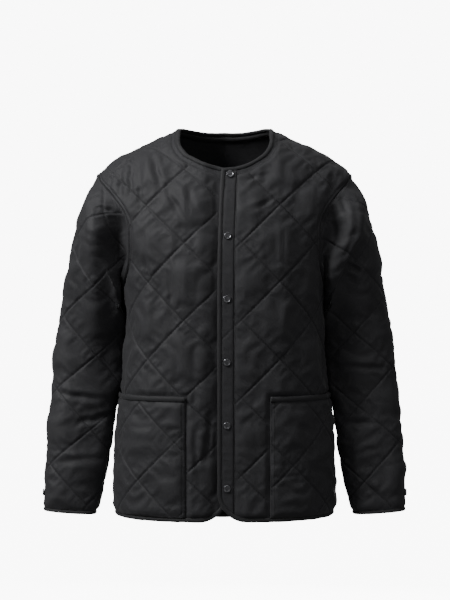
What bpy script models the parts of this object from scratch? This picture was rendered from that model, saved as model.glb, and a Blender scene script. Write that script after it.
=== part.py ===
"""Quilted collarless jacket with snap front, holding its worn shape, empty inside.

Metres, +Z up, front towards -Y, the wearer's left at +X.  The origin lies between
the shoulders, level with the top of the shoulder seams at the neck.

Each piece of cloth is cut in its own flat pattern, across and up, and is laid on
the body form or the sleeve form.  Its plain inner face is the form itself; its
outer face is the same points moved out by the padding, which sinks at the quilting.
"""
import math

import bmesh
import bpy
import numpy as np
from mathutils import Vector
from mathutils.geometry import delaunay_2d_cdt

MM = 0.001


def table(columns, rows):
    """Rows in millimetres under named columns, as arrays in metres."""
    values = np.array(rows, float) * MM
    return {name: values[:, i] for i, name in enumerate(columns.split())}


# ---------------------------------------------------------------- body form
ARMPIT = -300 * MM
RING_POWER = 2.5          # level sections: 2 is an ellipse, more is squarer
CROWN_POWER = 2.2         # the same for the rise from the armpit to the shoulder
BODY = table("height half_width front_depth back_depth", [
    (-740, 192, 135, 138),
    (-620, 192, 136, 137),
    (-540, 189, 138, 135),
    (-480, 183, 139, 134),
    (-430, 179, 140, 133),
    (-360, 174, 141, 132),
    (-300, 175, 141, 132),
    (-240, 184, 141, 130),
    (-180, 206, 140, 128),
    (-120, 228, 140, 128),
    (-60, 237, 140, 128),
    (90, 237, 140, 128)])
SHOULDER = table("across height", [
    (0, 19), (40, 11), (82, -3), (121, -19), (147, -31.5), (162, -39),
    (193, -55), (213, -70), (226, -84), (240, -106)])
SHOULDER_TIP = 224 * MM   # where the shoulder seam meets the sleeve

# ---------------------------------------------------------------- cut lines
HEM = -684 * MM           # finished lower edge of the fronts
BACK_DROP = 32 * MM       # the back hangs this much lower at its centre
CORNER = 46 * MM          # round lower front corners, at the cut edge
LAP_EDGE = -5.5 * MM      # cut edge of the left front, on top
UNDER_EDGE = 2.5 * MM     # cut edge of the right front, below it
PLACKET_SEAM = 16 * MM    # stitching line of the snap band
LEAN = 6 * MM             # the closure leans this much at the neck
LEAN_FOOT = -300 * MM
LEAN_TOP = -80 * MM
FRONT_NECK = table("across height", [
    (0, -83), (14, -81), (36, -74), (57, -61.5), (74, -48), (86.5, -21), (88, 10), (88.5, 50)])
BACK_NECK = table("across height", [
    (0, 9), (20, 9.5), (46, 15), (68, 27), (84, 44), (88.5, 56)])
NECK_SIDE = 88.5 * MM     # across, at the shoulder seam
FRONT_ARMHOLE = table("height inset", [
    (-60, 72), (-87, 70), (-103, 84), (-119, 98), (-145, 112), (-170, 114),
    (-202, 102), (-240, 80), (-270, 51), (-290, 22), (-300, 0)])
BACK_ARMHOLE = table("height inset", [
    (-60, 66), (-87, 64), (-103, 74), (-119, 84), (-145, 94), (-170, 95),
    (-202, 84), (-240, 66), (-270, 43), (-290, 19), (-300, 0)])

# ---------------------------------------------------------------- sleeve form
SLEEVE_POWER = 2.5
SLEEVE = table("outer_x outer_z inner_x inner_z half_depth centre_y", [
    (243.5, -122, 187.5, -316, 80, -11),
    (257, -160, 183.4, -331, 71, -6),
    (266.5, -196, 181.8, -345, 62, -1),
    (275, -232, 181.2, -357, 53.5, 4),
    (280.5, -268, 181.3, -369, 46.5, 8),
    (286, -304, 182, -383, 42, 11),
    (291, -340, 183.2, -400, 39, 12),
    (296.5, -376, 184.9, -419, 37, 11),
    (301.5, -412, 186.8, -440, 35.5, 9.5),
    (305.5, -448, 190, -463, 34.5, 7),
    (309, -484, 195, -490, 34, 4),
    (312.5, -520, 200, -521, 33.5, 0),
    (316, -556, 206, -556, 33, -4),
    (318.5, -592, 212, -592, 32.5, -8),
    (320.5, -628, 219, -629, 31.5, -12),
    (321, -658, 226, -661, 30.5, -15),
    (319, -678.5, 233, -684.5, 30, -17)])

# ---------------------------------------------------------------- cloth
SEAM_GAP = 0.3 * MM
STITCH = 2.0 * MM         # padded cloth at a quilting line or a seam
CROWN = 6.5 * MM          # and in the middle of a diamond
QUILT_WIDTH = 67 * MM     # half diagonals of a diamond
QUILT_HEIGHT = 66.4 * MM
CELLS = 3                 # pattern cells to a half diagonal
BINDING = 6.5 * MM        # visible width of the edge binding
ARM_TOP = -105 * MM       # the arm presses the body's side between these heights
ARM_FOOT = -430 * MM
ARM_PRESS = 0.96          # share of the padding that is flat where they touch
LAP_DROP = 7.5 * MM       # the right front sinks below the placket
LAP_FADE = 55 * MM
POCKET_LIFT = 3.6 * MM    # pocket's inner face above the form
POCKET_CLOTH = 1.6 * MM   # its thickness on a quilting line
POCKET_PADDING = 3.4 * MM # and what the padding adds in a diamond
MOUTH_FACES = [(0, 2.4 * MM), (0, 3.4 * MM), (0.2 * MM, 2.2 * MM)]   # of its bound mouth
POCKET_TOP = -469 * MM
POCKET_BINDING = 8 * MM
POCKETS = {"right": -66.5 * MM, "left": 78 * MM}
QUILTS = {                # where two quilting lines cross, across and up, mm
    "right_front": (-69.5, -207), "left_front": (28.5, -205.5), "back_panel": (0, -172),
    "right_pocket": (-85, -548), "left_pocket": (118, -588),
    "right_sleeve": (90, 416), "left_sleeve": (90, 324)}
SNAP_RADIUS = 6.3 * MM
SNAP_HEIGHT = 2.2 * MM
SNAP_SIDES = 16
SNAP_ACROSS = 4 * MM
SNAP_TOP = -87 * MM
SNAP_SPACING = 107.7 * MM
SNAP_COUNT = 6
CUFF_SNAP_UP = 33 * MM
CUFF_SNAP_TURN = 0.035    # of the way round, from the outer line to the front
PLACKET_EDGE = 2.6 * MM   # thickness of the snap band at its stitching
PLACKET_THICK = 3.2 * MM  # and in its middle
TAPE_FACES = (-2.2 * MM, -1.0 * MM)   # heights of the inner neck tape's faces
TAPE_ACROSS = np.array([1, 6, 11]) * MM   # and its lines down from the neck's edge

# Large soft folds: where (across, up), direction in degrees from across,
# half length and half width, and depth (a ridge is negative).  Millimetres.
BODY_FOLDS = [
    ("right_front", -196, -118, 78, 34, 13, 4.5),
    ("right_front", -150, -95, -52, 42, 14, 3.5),
    ("right_front", -118, -330, 84, 60, 16, 2.5),
    ("right_front", -205, -425, 70, 60, 16, 3.5),
    ("left_front", 188, -125, 100, 40, 13, 4),
    ("left_front", 146, -96, 52, 40, 14, 3),
    ("left_front", 128, -345, 96, 60, 16, 2.5),
    ("left_front", 205, -430, 110, 60, 16, 3.5),
    ("back_panel", -150, -120, 62, 60, 16, 4),
    ("back_panel", 150, -120, 118, 60, 16, 4),
    ("back_panel", -60, -420, 80, 70, 18, 3),
    ("back_panel", 84, -455, 100, 70, 18, 3)]
SLEEVE_FOLDS = [
    ("right_sleeve", 104, 522, -50, 44, 12, 5),
    ("right_sleeve", 98, 170, 16, 36, 12, 4.5),
    ("right_sleeve", 72, 208, -3, 38, 12, 4.5),
    ("right_sleeve", 78, 96, 10, 34, 12, 3.5),
    ("right_sleeve", -85, 230, 0, 56, 14, 4.5),
    ("right_sleeve", -90, 150, -8, 50, 13, 4),
    ("left_sleeve", 92, 507, -62, 48, 12, 5),
    ("left_sleeve", 74, 262, 6, 36, 12, 4.5),
    ("left_sleeve", 88, 162, 5, 28, 12, 4),
    ("left_sleeve", 80, 112, -12, 26, 11, 3.5),
    ("left_sleeve", -85, 230, 0, 56, 14, 4.5),
    ("left_sleeve", -90, 150, 8, 50, 13, 4)]
FOLD_FADE = 38 * MM       # folds die out this far from a cut edge

CLOTH_COLOUR = (0.012, 0.012, 0.013, 1)
BINDING_COLOUR = (0.008, 0.008, 0.009, 1)
SNAP_COLOUR = (0.03, 0.03, 0.032, 1)


# ---------------------------------------------------------------- curves
def smooth(known, values, at):
    """Smooth curve through the values at the known places, which increase."""
    at = np.clip(at, known[0], known[-1])
    slope = np.gradient(values, known)
    i = np.clip(np.searchsorted(known, at) - 1, 0, len(known) - 2)
    span = known[i + 1] - known[i]
    u = (at - known[i]) / span
    start = (1 + 2 * u) * (1 - u) ** 2 * values[i] + u * (1 - u) ** 2 * span * slope[i]
    end = u * u * (3 - 2 * u) * values[i + 1] + u * u * (u - 1) * span * slope[i + 1]
    return start + end


def ease(x):
    """0 to 1 with level ends."""
    x = np.clip(x, 0, 1)
    return x * x * (3 - 2 * x)


def along(points):
    """Distance along a row of points."""
    steps = np.linalg.norm(np.diff(points, axis=0), axis=1)
    return np.concatenate([[0], np.cumsum(steps)])


def even_points(points, fractions):
    """Points at fractions of the whole length of a row of points."""
    length = along(points)
    at = np.asarray(fractions) * length[-1]
    return np.stack([np.interp(at, length, points[:, k]) for k in range(points.shape[1])], 1)


# ---------------------------------------------------------------- body form
TURN = np.linspace(0, math.pi / 2, 61)


def quarter(across, up, power, reach):
    """Point of a quarter superellipse a given length along it, and its whole length."""
    row_a = across[:, None] * np.sin(TURN) ** (2 / power)
    row_b = up[:, None] * np.cos(TURN) ** (2 / power)
    steps = np.hypot(np.diff(row_a, axis=1), np.diff(row_b, axis=1))
    length = np.concatenate([np.zeros((len(across), 1)), np.cumsum(steps, 1)], 1)
    k = np.clip((length < reach[:, None]).sum(1), 1, len(TURN) - 1)
    row = np.arange(len(reach))
    low, high = length[row, k - 1], length[row, k]
    part = np.clip((reach - low) / np.maximum(high - low, 1e-12), 0, 1)
    turn = TURN[k - 1] + part * (TURN[k] - TURN[k - 1])
    return across * np.sin(turn) ** (2 / power), up * np.cos(turn) ** (2 / power), length[:, -1]


def body(points, back):
    """Body form at pattern points, with the quarter girth and the rise above the armpit."""
    s, t = points[:, 0], points[:, 1]
    width = smooth(BODY["height"], BODY["half_width"], t)
    depth = smooth(BODY["height"], BODY["back_depth" if back else "front_depth"], t)
    x, y, girth = quarter(width, depth, RING_POWER, np.abs(s))
    rise = smooth(SHOULDER["across"], SHOULDER["height"], x) - ARMPIT
    z, y, crown = quarter(rise, y, CROWN_POWER, np.maximum(t - ARMPIT, 0))
    z = np.where(t > ARMPIT, ARMPIT + z, t)
    place = np.stack([np.sign(s) * x, y if back else -y, z], 1)
    return place, girth, crown


def side_seam(t, back):
    """Across, at the side, for heights t."""
    return body(np.stack([np.zeros_like(t), t], 1), back)[1]


def shoulder_seam(s, back):
    """Pattern height of the shoulder seam at s across."""
    return ARMPIT + body(np.stack([s, np.zeros_like(s)], 1), back)[2]


def across_at(x, back):
    """Across on the pattern, at the shoulder seam, for a distance x from the middle."""
    s = np.array([x])
    for _ in range(30):
        s = s + x - body(np.stack([s, s * 0], 1), back)[0][:, 0]
    return s[0]


def normals(form, points, step=0.5 * MM):
    """Unit normals of a form, on the side of across x up."""
    right, up = np.array([step, 0]), np.array([0, step])
    cross = np.cross(form(points + right) - form(points - right),
                     form(points + up) - form(points - up))
    return cross / np.linalg.norm(cross, axis=1)[:, None]


def fold_depth(points, name, folds):
    """Sum of the named piece's folds at pattern points."""
    total = np.zeros(len(points))
    for piece, across, up, angle, half_length, half_width, depth in folds:
        if piece != name:
            continue
        turn = math.radians(angle)
        offset = points - np.array([across, up]) * MM
        lengthways = offset @ np.array([math.cos(turn), math.sin(turn)]) / (half_length * MM)
        sideways = offset @ np.array([-math.sin(turn), math.cos(turn)]) / (half_width * MM)
        total += depth * MM * np.exp(-lengthways ** 2 - sideways ** 2)
    return total


def edge_distance(points, outline):
    """Distance of pattern points from a closed outline."""
    best = np.full(len(points), 1e9)
    for a, b in zip(outline, np.roll(outline, -1, axis=0)):
        run = b - a
        part = np.clip((points - a) @ run / max(run @ run, 1e-18), 0, 1)
        best = np.minimum(best, np.linalg.norm(points - a - part[:, None] * run, axis=1))
    return best


def inside(points, outline):
    """Whether pattern points are inside a closed outline."""
    result = np.zeros(len(points), bool)
    x, y = points[:, 0], points[:, 1]
    for a, b in zip(outline, np.roll(outline, -1, axis=0)):
        if a[1] == b[1]:
            continue
        crosses = (a[1] > y) != (b[1] > y)
        result ^= crosses & (x < a[0] + (y - a[1]) * (b[0] - a[0]) / (b[1] - a[1]))
    return result


def lean(points):
    """The closure leans towards the wearer's left as it nears the neck."""
    rise = np.clip((points[:, 1] - LEAN_FOOT) / (LEAN_TOP - LEAN_FOOT), 0, 1.3) ** 2
    near = 1 - ease(np.abs(points[:, 0]) / (90 * MM))
    return points + np.stack([LEAN * rise * near, np.zeros(len(points))], 1)


# ---------------------------------------------------------------- outlines
def armhole(back, fractions):
    """Pattern points down the armhole of the wearer's left, shoulder tip to armpit."""
    rows = BACK_ARMHOLE if back else FRONT_ARMHOLE
    index = np.arange(len(rows["height"]), dtype=float)
    at = np.linspace(0, len(index) - 1, 200)
    t = smooth(index, rows["height"], at)
    s = side_seam(t, back) - np.maximum(smooth(index, rows["inset"], at), 0)
    tip = across_at(SHOULDER_TIP, back)
    top = shoulder_seam(np.array([tip]), back)[0]
    blend = np.clip(1 - at, 0, 1)
    points = np.stack([s + (tip - s[0]) * blend, t + (top - t[0]) * blend], 1)
    return even_points(points, fractions)


def neckline(back, count):
    """Cut line of the neck from the shoulder seam to the middle, at +across."""
    rows = BACK_NECK if back else FRONT_NECK
    index = np.arange(len(rows["across"]), dtype=float)
    at = np.linspace(len(index) - 1, 0, 120)
    points = np.stack([smooth(index, rows["across"], at), smooth(index, rows["height"], at)], 1)
    points[:, 1] = np.minimum(points[:, 1], shoulder_seam(points[:, 0], back))
    points[0, 1] = shoulder_seam(points[:1, 0], back)[0]
    return even_points(points, np.linspace(0, 1, count))


def hem_height(s, back):
    """Cut line of the hem: level at the front, dropping towards the middle of the back."""
    level = np.full_like(s, HEM + BINDING)
    if back:
        level -= BACK_DROP * ease(1 - np.abs(s) / side_seam(np.array([HEM]), back)[0])
    return level


ARMHOLE_POINTS = 15
SIDE_POINTS = 18


def side_and_armhole(back):
    """From the hem up the side, round the armhole and along the shoulder to the neck."""
    foot = hem_height(np.array([0.3]), False)[0]
    t = np.linspace(foot, ARMPIT, SIDE_POINTS)
    side = np.stack([side_seam(t, back), t], 1)
    hole = armhole(back, np.linspace(1, 0, ARMHOLE_POINTS))
    x = np.linspace(hole[-1, 0], NECK_SIDE, 8)
    seam = np.stack([x, shoulder_seam(x, back)], 1)
    return side, hole, seam


def mirrored(points):
    """The same run of points on the other side of the middle, in reverse."""
    return points[::-1] * np.array([-1, 1])


def front_edge(edge, side):
    """Cut line from the neck down the front edge, round the corner and along the hem.

    It is given for the left front; side is -1 for the right front, whose edge is
    mirrored there, so that it runs the same way."""
    neck = neckline(False, 60)
    neck = neck[neck[:, 0] > edge]
    top = np.array([[edge, np.interp(edge, *neckline(False, 60)[::-1].T)]])
    turn = np.radians(np.linspace(180, 270, 7))
    centre = np.array([edge + CORNER, HEM + BINDING + CORNER])
    corner = centre + CORNER * np.stack([np.cos(turn), np.sin(turn)], 1)
    straight = np.stack([np.full(27, edge), np.linspace(top[0, 1], corner[0, 1], 28)[1:]], 1)
    end = side_seam(np.array([HEM + BINDING]), False)[0]
    hem = np.stack([np.linspace(corner[-1, 0], end, 11)[1:], np.full(10, HEM + BINDING)], 1)
    neck = even_points(np.concatenate([neck, top]), np.linspace(0, 1, 9))
    return neck * [side, 1], np.concatenate([straight[:-1], corner]) * [side, 1], hem * [side, 1]


def inset_outline(outline, gap):
    """Closed outline, counter-clockwise, moved inwards by a gap."""
    ahead = np.roll(outline, -1, axis=0) - outline
    behind = outline - np.roll(outline, 1, axis=0)
    ahead /= np.linalg.norm(ahead, axis=1)[:, None]
    behind /= np.linalg.norm(behind, axis=1)[:, None]
    inward = np.stack([-ahead[:, 1] - behind[:, 1], ahead[:, 0] + behind[:, 0]], 1)
    size = np.maximum(np.linalg.norm(inward, axis=1), 1e-9)
    inward /= size[:, None]
    return outline + inward * gap / np.maximum(size[:, None] / 2, 0.35)


# ---------------------------------------------------------------- cloth pieces
def puff(points, quilt):
    """Padding at pattern points: 0 on a quilting line, 1 in the middle of a diamond."""
    u = (points[:, 0] - quilt[0] * MM) / QUILT_WIDTH
    v = (points[:, 1] - quilt[1] * MM) / QUILT_HEIGHT
    rising = np.abs((u - v + 1) % 2 - 1)
    falling = np.abs((u + v + 1) % 2 - 1)
    return (np.sin(rising * math.pi / 2) * np.sin(falling * math.pi / 2)) ** 0.5


def cut(outline, quilt):
    """Triangles over an outline, along its quilting; the outline's points come first."""
    cell = np.array([QUILT_WIDTH, QUILT_HEIGHT]) / CELLS
    origin = np.array(quilt) * MM
    low = np.floor((outline.min(0) - origin) / cell).astype(int)
    high = np.ceil((outline.max(0) - origin) / cell).astype(int)
    grid = np.array([(i, j) for i in range(low[0], high[0] + 1) for j in range(low[1], high[1] + 1)])
    points = origin + grid * cell
    kept = inside(points, outline) & (edge_distance(points, outline) > 0.36 * cell[0])
    number = {tuple(g): len(outline) + n for n, g in enumerate(grid[kept])}
    coords = np.concatenate([outline, points[kept]])
    lines = [(number[(i, j)], number[(i + 1, j + step)])
             for (i, j) in number for step in (1, -1)
             if (i - step * j) % (2 * CELLS) == 0 and (i + 1, j + step) in number]
    found = delaunay_2d_cdt([Vector(p) for p in coords], lines,
                            [list(range(len(outline)))], 1, 1e-7)
    order = [source[0] if source else None for source in found[3]]
    faces = [tuple(order[v] for v in face) for face in found[2]]
    return coords, faces


def wall(name, within, without, faces, material):
    """A closed wall between two matching skins; faces are wound for the outer one."""
    count = len(within)
    sides = {(a, b) for face in faces for a, b in zip(face, face[1:] + face[:1])}
    rim = [(b + count, a + count, a, b) for a, b in sides if (b, a) not in sides]
    shell = [tuple(v + count for v in face) for face in faces] + [face[::-1] for face in faces]
    mesh = bpy.data.meshes.new(name)
    mesh.from_pydata(np.concatenate([within, without]).tolist(), [], shell + sorted(rim))
    clean = bmesh.new()
    clean.from_mesh(mesh)
    loose = [v for v in clean.verts if not v.link_faces]
    bmesh.ops.delete(clean, geom=loose, context="VERTS")
    clean.to_mesh(mesh)
    clean.free()
    mesh.materials.append(material)
    mesh.shade_smooth()
    piece = bpy.data.objects.new(name, mesh)
    bpy.data.collections[COLLECTION].objects.link(piece)
    return piece


class Panel:
    """A body piece: its outline on the pattern, its side of the form and its quilting."""

    def __init__(self, name, outline, back):
        self.name, self.outline, self.back = name, outline, back
        self.outward = -1 if back else 1

    def base(self, points):
        """Form below any folds; the right front sinks where the left one laps it."""
        place = body(points if self.back else lean(points), self.back)[0]
        if self.name == "right_front":
            place[:, 1] += LAP_DROP * ease((points[:, 0] + LAP_FADE) / (0.8 * LAP_FADE))
        return place

    def form(self, points):
        """Inner face of the cloth and its outward normals."""
        place = self.base(points)
        out = normals(self.base, points) * self.outward
        fade = ease(edge_distance(points, self.outline) / FOLD_FADE)
        depth = fold_depth(points, self.name, BODY_FOLDS) * fade
        return place - out * depth[:, None], out


def pressed(points, panel):
    """How much of its padding a body piece keeps: less under a pocket, lap or arm."""
    keep = np.ones(len(points))
    s, t = points[:, 0], points[:, 1]
    side = side_seam(np.minimum(t, ARMPIT), panel.back) - np.abs(s)
    arm = ease((ARM_TOP - t) / (60 * MM)) * (1 - ease((ARM_FOOT - t) / (80 * MM)))
    keep *= 1 - ARM_PRESS * arm * (1 - ease(side / (75 * MM)))
    if panel.name == "right_front":
        keep *= 1 - 0.8 * ease((s + 0.028) / 0.02)
    for which, edge in POCKETS.items():
        if panel.name == which + "_front":
            covered = ease((np.abs(s) - abs(edge) + 0.018) / 0.012)
            keep *= 1 - covered * ease((POCKET_TOP + 0.016 - t) / 0.012)
    return keep


def panel_piece(panel, quilt, material, mitres=None):
    """Quilted wall of a body panel; mitres turn its rim at the armholes."""
    outline = inset_outline(panel.outline, SEAM_GAP / 2)
    points, faces = cut(outline, quilt)
    within, out = panel.form(points)
    edge = len(outline)
    padding = puff(points, quilt) * pressed(points, panel)
    padding[:edge] = 0
    for place, turn in (mitres or {}).items():
        out[place] = turn
    without = within + out * (STITCH + (CROWN - STITCH) * padding)[:, None]
    if panel.back:
        faces = [face[::-1] for face in faces]
    return wall(panel.name, within, without, faces, material)


def strip(name, form, stations, columns, outward, material, closed=False):
    """A narrow wall along a line: stations of pattern points, one per column.

    columns holds, for each point across, the heights of its inner and outer face;
    outward is 1 where counter-clockwise faces of the pattern look outwards."""
    rows, width = stations.shape[:2]
    within, out = form(stations.reshape(-1, 2))
    ahead, off = stations[1, 0] - stations[0, 0], stations[0, -1] - stations[0, 0]
    flip = (ahead[0] * off[1] - ahead[1] * off[0]) * outward < 0
    under = np.tile([c[0] for c in columns], rows)[:, None]
    over = np.tile([c[1] for c in columns], rows)[:, None]
    faces = []
    for i in range(rows if closed else rows - 1):
        j = (i + 1) % rows
        for k in range(width - 1):
            face = (i * width + k, j * width + k, j * width + k + 1, i * width + k + 1)
            faces.append(face[::-1] if flip else face)
    return wall(name, within + out * under, within + out * over, faces, material)


BINDING_ACROSS = np.array([0.5, 3.5, 6.5]) * MM
BINDING_FACES = [(0 * MM, 3.2 * MM), (-0.7 * MM, 4.1 * MM), (0.5 * MM, 2.4 * MM)]


def bound_edge(line, side):
    """Stations of a binding along a cut line, which lies on its left for side 1."""
    run = np.gradient(line, axis=0)
    run /= np.linalg.norm(run, axis=1)[:, None]
    off = np.stack([run[:, 1], -run[:, 0]], 1) * side
    return line[:, None] + off[:, None] * BINDING_ACROSS[None, :, None]


def main():
    """Build every piece of the jacket."""
    cloth = make_material("black quilted cloth", CLOTH_COLOUR, 0.45, 0)
    tape = make_material("black binding", BINDING_COLOUR, 0.5, 0)
    metal = make_material("dark snap metal", SNAP_COLOUR, 0.35, 0.8)
    sleeves = {"left": Sleeve("left_sleeve", 1), "right": Sleeve("right_sleeve", -1)}
    fronts = make_fronts(sleeves, cloth, tape)
    make_back(sleeves, cloth, tape)
    for which, sleeve in sleeves.items():
        make_sleeve(sleeve, cloth, tape, metal)
        make_pocket(which, fronts[which], cloth, tape)
    make_snaps(fronts["left"], metal)


def make_material(name, colour, roughness, metallic):
    """A Principled material."""
    material = bpy.data.materials.new(name)
    material.use_nodes = True
    shader = material.node_tree.nodes["Principled BSDF"]
    shader.inputs["Base Color"].default_value = colour
    shader.inputs["Roughness"].default_value = roughness
    shader.inputs["Metallic"].default_value = metallic
    material.diffuse_color = colour
    return material


def armhole_mitres(sleeve, back, first, reverse):
    """Rim directions for a panel's armhole points, numbered from first."""
    turns = sleeve.mitres(back)
    order = turns[::-1] if reverse else turns
    return {first + n: turn for n, turn in enumerate(order)}


def make_fronts(sleeves, cloth, tape):
    """Both fronts, the snap band and the bindings of their edges."""
    side, hole, seam = side_and_armhole(False)
    panels = {}
    for which, sign, edge in (("left", 1, LAP_EDGE), ("right", -1, -UNDER_EDGE)):
        neck, down, hem = front_edge(edge, 1)
        if which == "left":
            whole = np.concatenate([down, hem])
            lower = whole[whole[:, 0] > PLACKET_SEAM + 4 * MM]
            start = np.array([[PLACKET_SEAM, np.interp(PLACKET_SEAM, whole[26:, 0], whole[26:, 1])]])
            upper = neck[neck[:, 0] > PLACKET_SEAM + 4 * MM]
            stop = np.array([[PLACKET_SEAM, np.interp(PLACKET_SEAM, *neck[::-1].T)]])
            inner = even_points(np.concatenate([stop, start]), np.linspace(0, 1, 28))
            run = [lower, side[1:], hole[1:], seam[1:], upper[1:], inner]
        else:
            run = [hem[:-1], side, hole[1:], seam[1:], neck[1:], down]
        outline = np.concatenate(run)
        first = sum(len(r) for r in run[:2]) - 1
        if sign < 0:
            outline = mirrored(outline)
            first = len(outline) - first - len(hole)
        panel = Panel(which + "_front", outline, False)
        mitres = armhole_mitres(sleeves[which], False, first, sign > 0)
        panel_piece(panel, QUILTS[panel.name], cloth, mitres)
        line = np.concatenate([neck, down, hem]) * [sign, 1]
        line[-1, 0] -= sign * SEAM_GAP / 2
        stations = bound_edge(line, sign)
        stations[0, :, 1] = shoulder_seam(stations[0, :, 0], False) - SEAM_GAP / 2
        stations[-1, :, 0] = sign * (side_seam(stations[-1, :, 1], False) - SEAM_GAP / 2)
        strip(panel.name + "_binding", panel.form, stations, BINDING_FACES, 1, tape)
        panels[which] = panel
    make_placket(panels["left"], tape)
    return panels


def make_placket(panel, material):
    """Plain snap band between the left front's edge and its stitching line."""
    neck, down, hem = front_edge(LAP_EDGE, 1)
    whole = np.concatenate([down, hem])
    t = np.linspace(0, 1, 34)
    across = np.linspace(LAP_EDGE + SEAM_GAP / 2, PLACKET_SEAM - SEAM_GAP / 2, 4)
    top = np.interp(across, *neck[::-1].T) - SEAM_GAP / 2
    foot = np.interp(across, whole[26:, 0], whole[26:, 1]) + SEAM_GAP / 2
    foot[0] = whole[26, 1]
    heights = top[None, :] + t[:, None] * (foot - top)[None, :]
    stations = np.stack([np.broadcast_to(across, heights.shape), heights], 2)
    faces = [(0, PLACKET_EDGE), (0, PLACKET_THICK), (0, PLACKET_THICK), (0, PLACKET_EDGE)]
    return strip("placket", panel.form, stations, faces, 1, material)




def make_back(sleeves, cloth, tape):
    """The back, its hem and neck bindings and the tape inside the neck."""
    side, hole, seam = side_and_armhole(True)
    end = side_seam(np.array([HEM + BINDING]), True)[0]
    across = np.linspace(-end, end, 27)
    hem = np.stack([across, hem_height(across, True)], 1)
    neck = neckline(True, 8)
    half = np.concatenate([side, hole[1:], seam[1:]])
    run = [hem[:-1], half, neck[1:], mirrored(neck)[1:-1], mirrored(half)[:-1]]
    outline = np.concatenate(run)
    panel = Panel("back_panel", outline, True)
    first = len(run[0]) + len(side) - 1
    mitres = armhole_mitres(sleeves["left"], True, first, True)
    far = len(outline) - len(half) + 1 + len(seam) - 1
    mitres.update(armhole_mitres(sleeves["right"], True, far, False))
    panel_piece(panel, QUILTS[panel.name], cloth, mitres)
    stations = bound_edge(hem, 1)
    for end_row, sign in ((0, -1), (-1, 1)):
        stations[end_row, :, 0] = sign * (side_seam(stations[end_row, :, 1], True) - SEAM_GAP / 2)
    strip("back_hem_binding", panel.form, stations, BINDING_FACES, -1, tape)
    line = np.concatenate([neck, mirrored(neck)[1:]])
    stations = bound_edge(line, 1)
    for end_row in (0, -1):
        stations[end_row, :, 1] = shoulder_seam(np.abs(stations[end_row, :, 0]), True) - SEAM_GAP / 2
    strip("back_neck_binding", panel.form, stations, BINDING_FACES, -1, tape)
    inner = line[1:-1]
    run = np.gradient(inner, axis=0)
    run /= np.linalg.norm(run, axis=1)[:, None]
    off = np.stack([-run[:, 1], run[:, 0]], 1)
    stations = inner[:, None] + off[:, None] * TAPE_ACROSS[None, :, None]
    strip("back_neck_tape", panel.form, stations, [TAPE_FACES] * 3, -1, tape)




def make_pocket(which, panel, cloth, tape):
    """A quilted patch pocket on a front, with its bound mouth."""
    sign = 1 if which == "left" else -1
    edge = abs(POCKETS[which])
    name = which + "_pocket"
    foot, top = HEM + BINDING + SEAM_GAP, POCKET_TOP - POCKET_BINDING
    t = np.linspace(foot, top, 11)
    side = np.stack([side_seam(t, False) - 3 * MM, t], 1)
    across = np.linspace(side[-1, 0], edge, 10)
    upper = np.stack([across, np.full(10, top)], 1)
    inner = np.stack([np.full(11, edge), t[::-1]], 1)
    lower = upper[::-1] * [1, 0] + [0, foot]
    lower[:, 0] = np.linspace(edge, side[0, 0], 10)
    outline = np.concatenate([lower[:-1], side[:-1], upper[:-1], inner[:-1]])
    if sign < 0:
        outline = mirrored(outline)
    points, faces = cut(outline, QUILTS[name])
    base, out = panel.form(points)
    padding = puff(points, QUILTS[name])
    padding[:len(outline)] = 0
    over = POCKET_LIFT + POCKET_CLOTH + POCKET_PADDING * padding
    wall(name, base + out * POCKET_LIFT, base + out * over[:, None], faces, cloth)
    mouth = upper[::-1] if sign > 0 else mirrored(upper)[::-1]
    levels = np.array([SEAM_GAP, POCKET_BINDING / 2, POCKET_BINDING])
    stations = mouth[:, None] + np.stack([levels * 0, levels], 1)[None]
    faces = [(POCKET_LIFT + low, POCKET_LIFT + high) for low, high in MOUTH_FACES]
    strip(name + "_binding", panel.form, stations, faces, 1, tape)


def make_cap(name, place, out, material):
    """A snap cap: a low bevelled disc standing on the cloth."""
    mesh = bpy.data.meshes.new(name)
    disc = bmesh.new()
    bmesh.ops.create_cone(disc, cap_ends=True, segments=SNAP_SIDES, radius1=SNAP_RADIUS,
                          radius2=SNAP_RADIUS - 0.5 * MM, depth=SNAP_HEIGHT)
    disc.to_mesh(mesh)
    disc.free()
    mesh.materials.append(material)
    piece = bpy.data.objects.new(name, mesh)
    bpy.data.collections[COLLECTION].objects.link(piece)
    piece.rotation_euler = Vector(out).to_track_quat("Z", "Y").to_euler()
    piece.location = Vector(place) + Vector(out) * (SEAM_GAP + SNAP_HEIGHT / 2)
    bevel = piece.modifiers.new("rounded edge", "BEVEL")
    bevel.width = 0.6 * MM
    bevel.segments = 1
    bevel.limit_method = "ANGLE"
    return piece


def make_snaps(panel, material):
    """The row of snap caps down the placket."""
    heights = SNAP_TOP - SNAP_SPACING * np.arange(SNAP_COUNT)
    points = np.stack([np.full(SNAP_COUNT, SNAP_ACROSS), heights], 1)
    place, out = panel.form(points)
    for n in range(SNAP_COUNT):
        make_cap(f"snap_{n + 1}", place[n] + out[n] * PLACKET_THICK, out[n], material)


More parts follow.
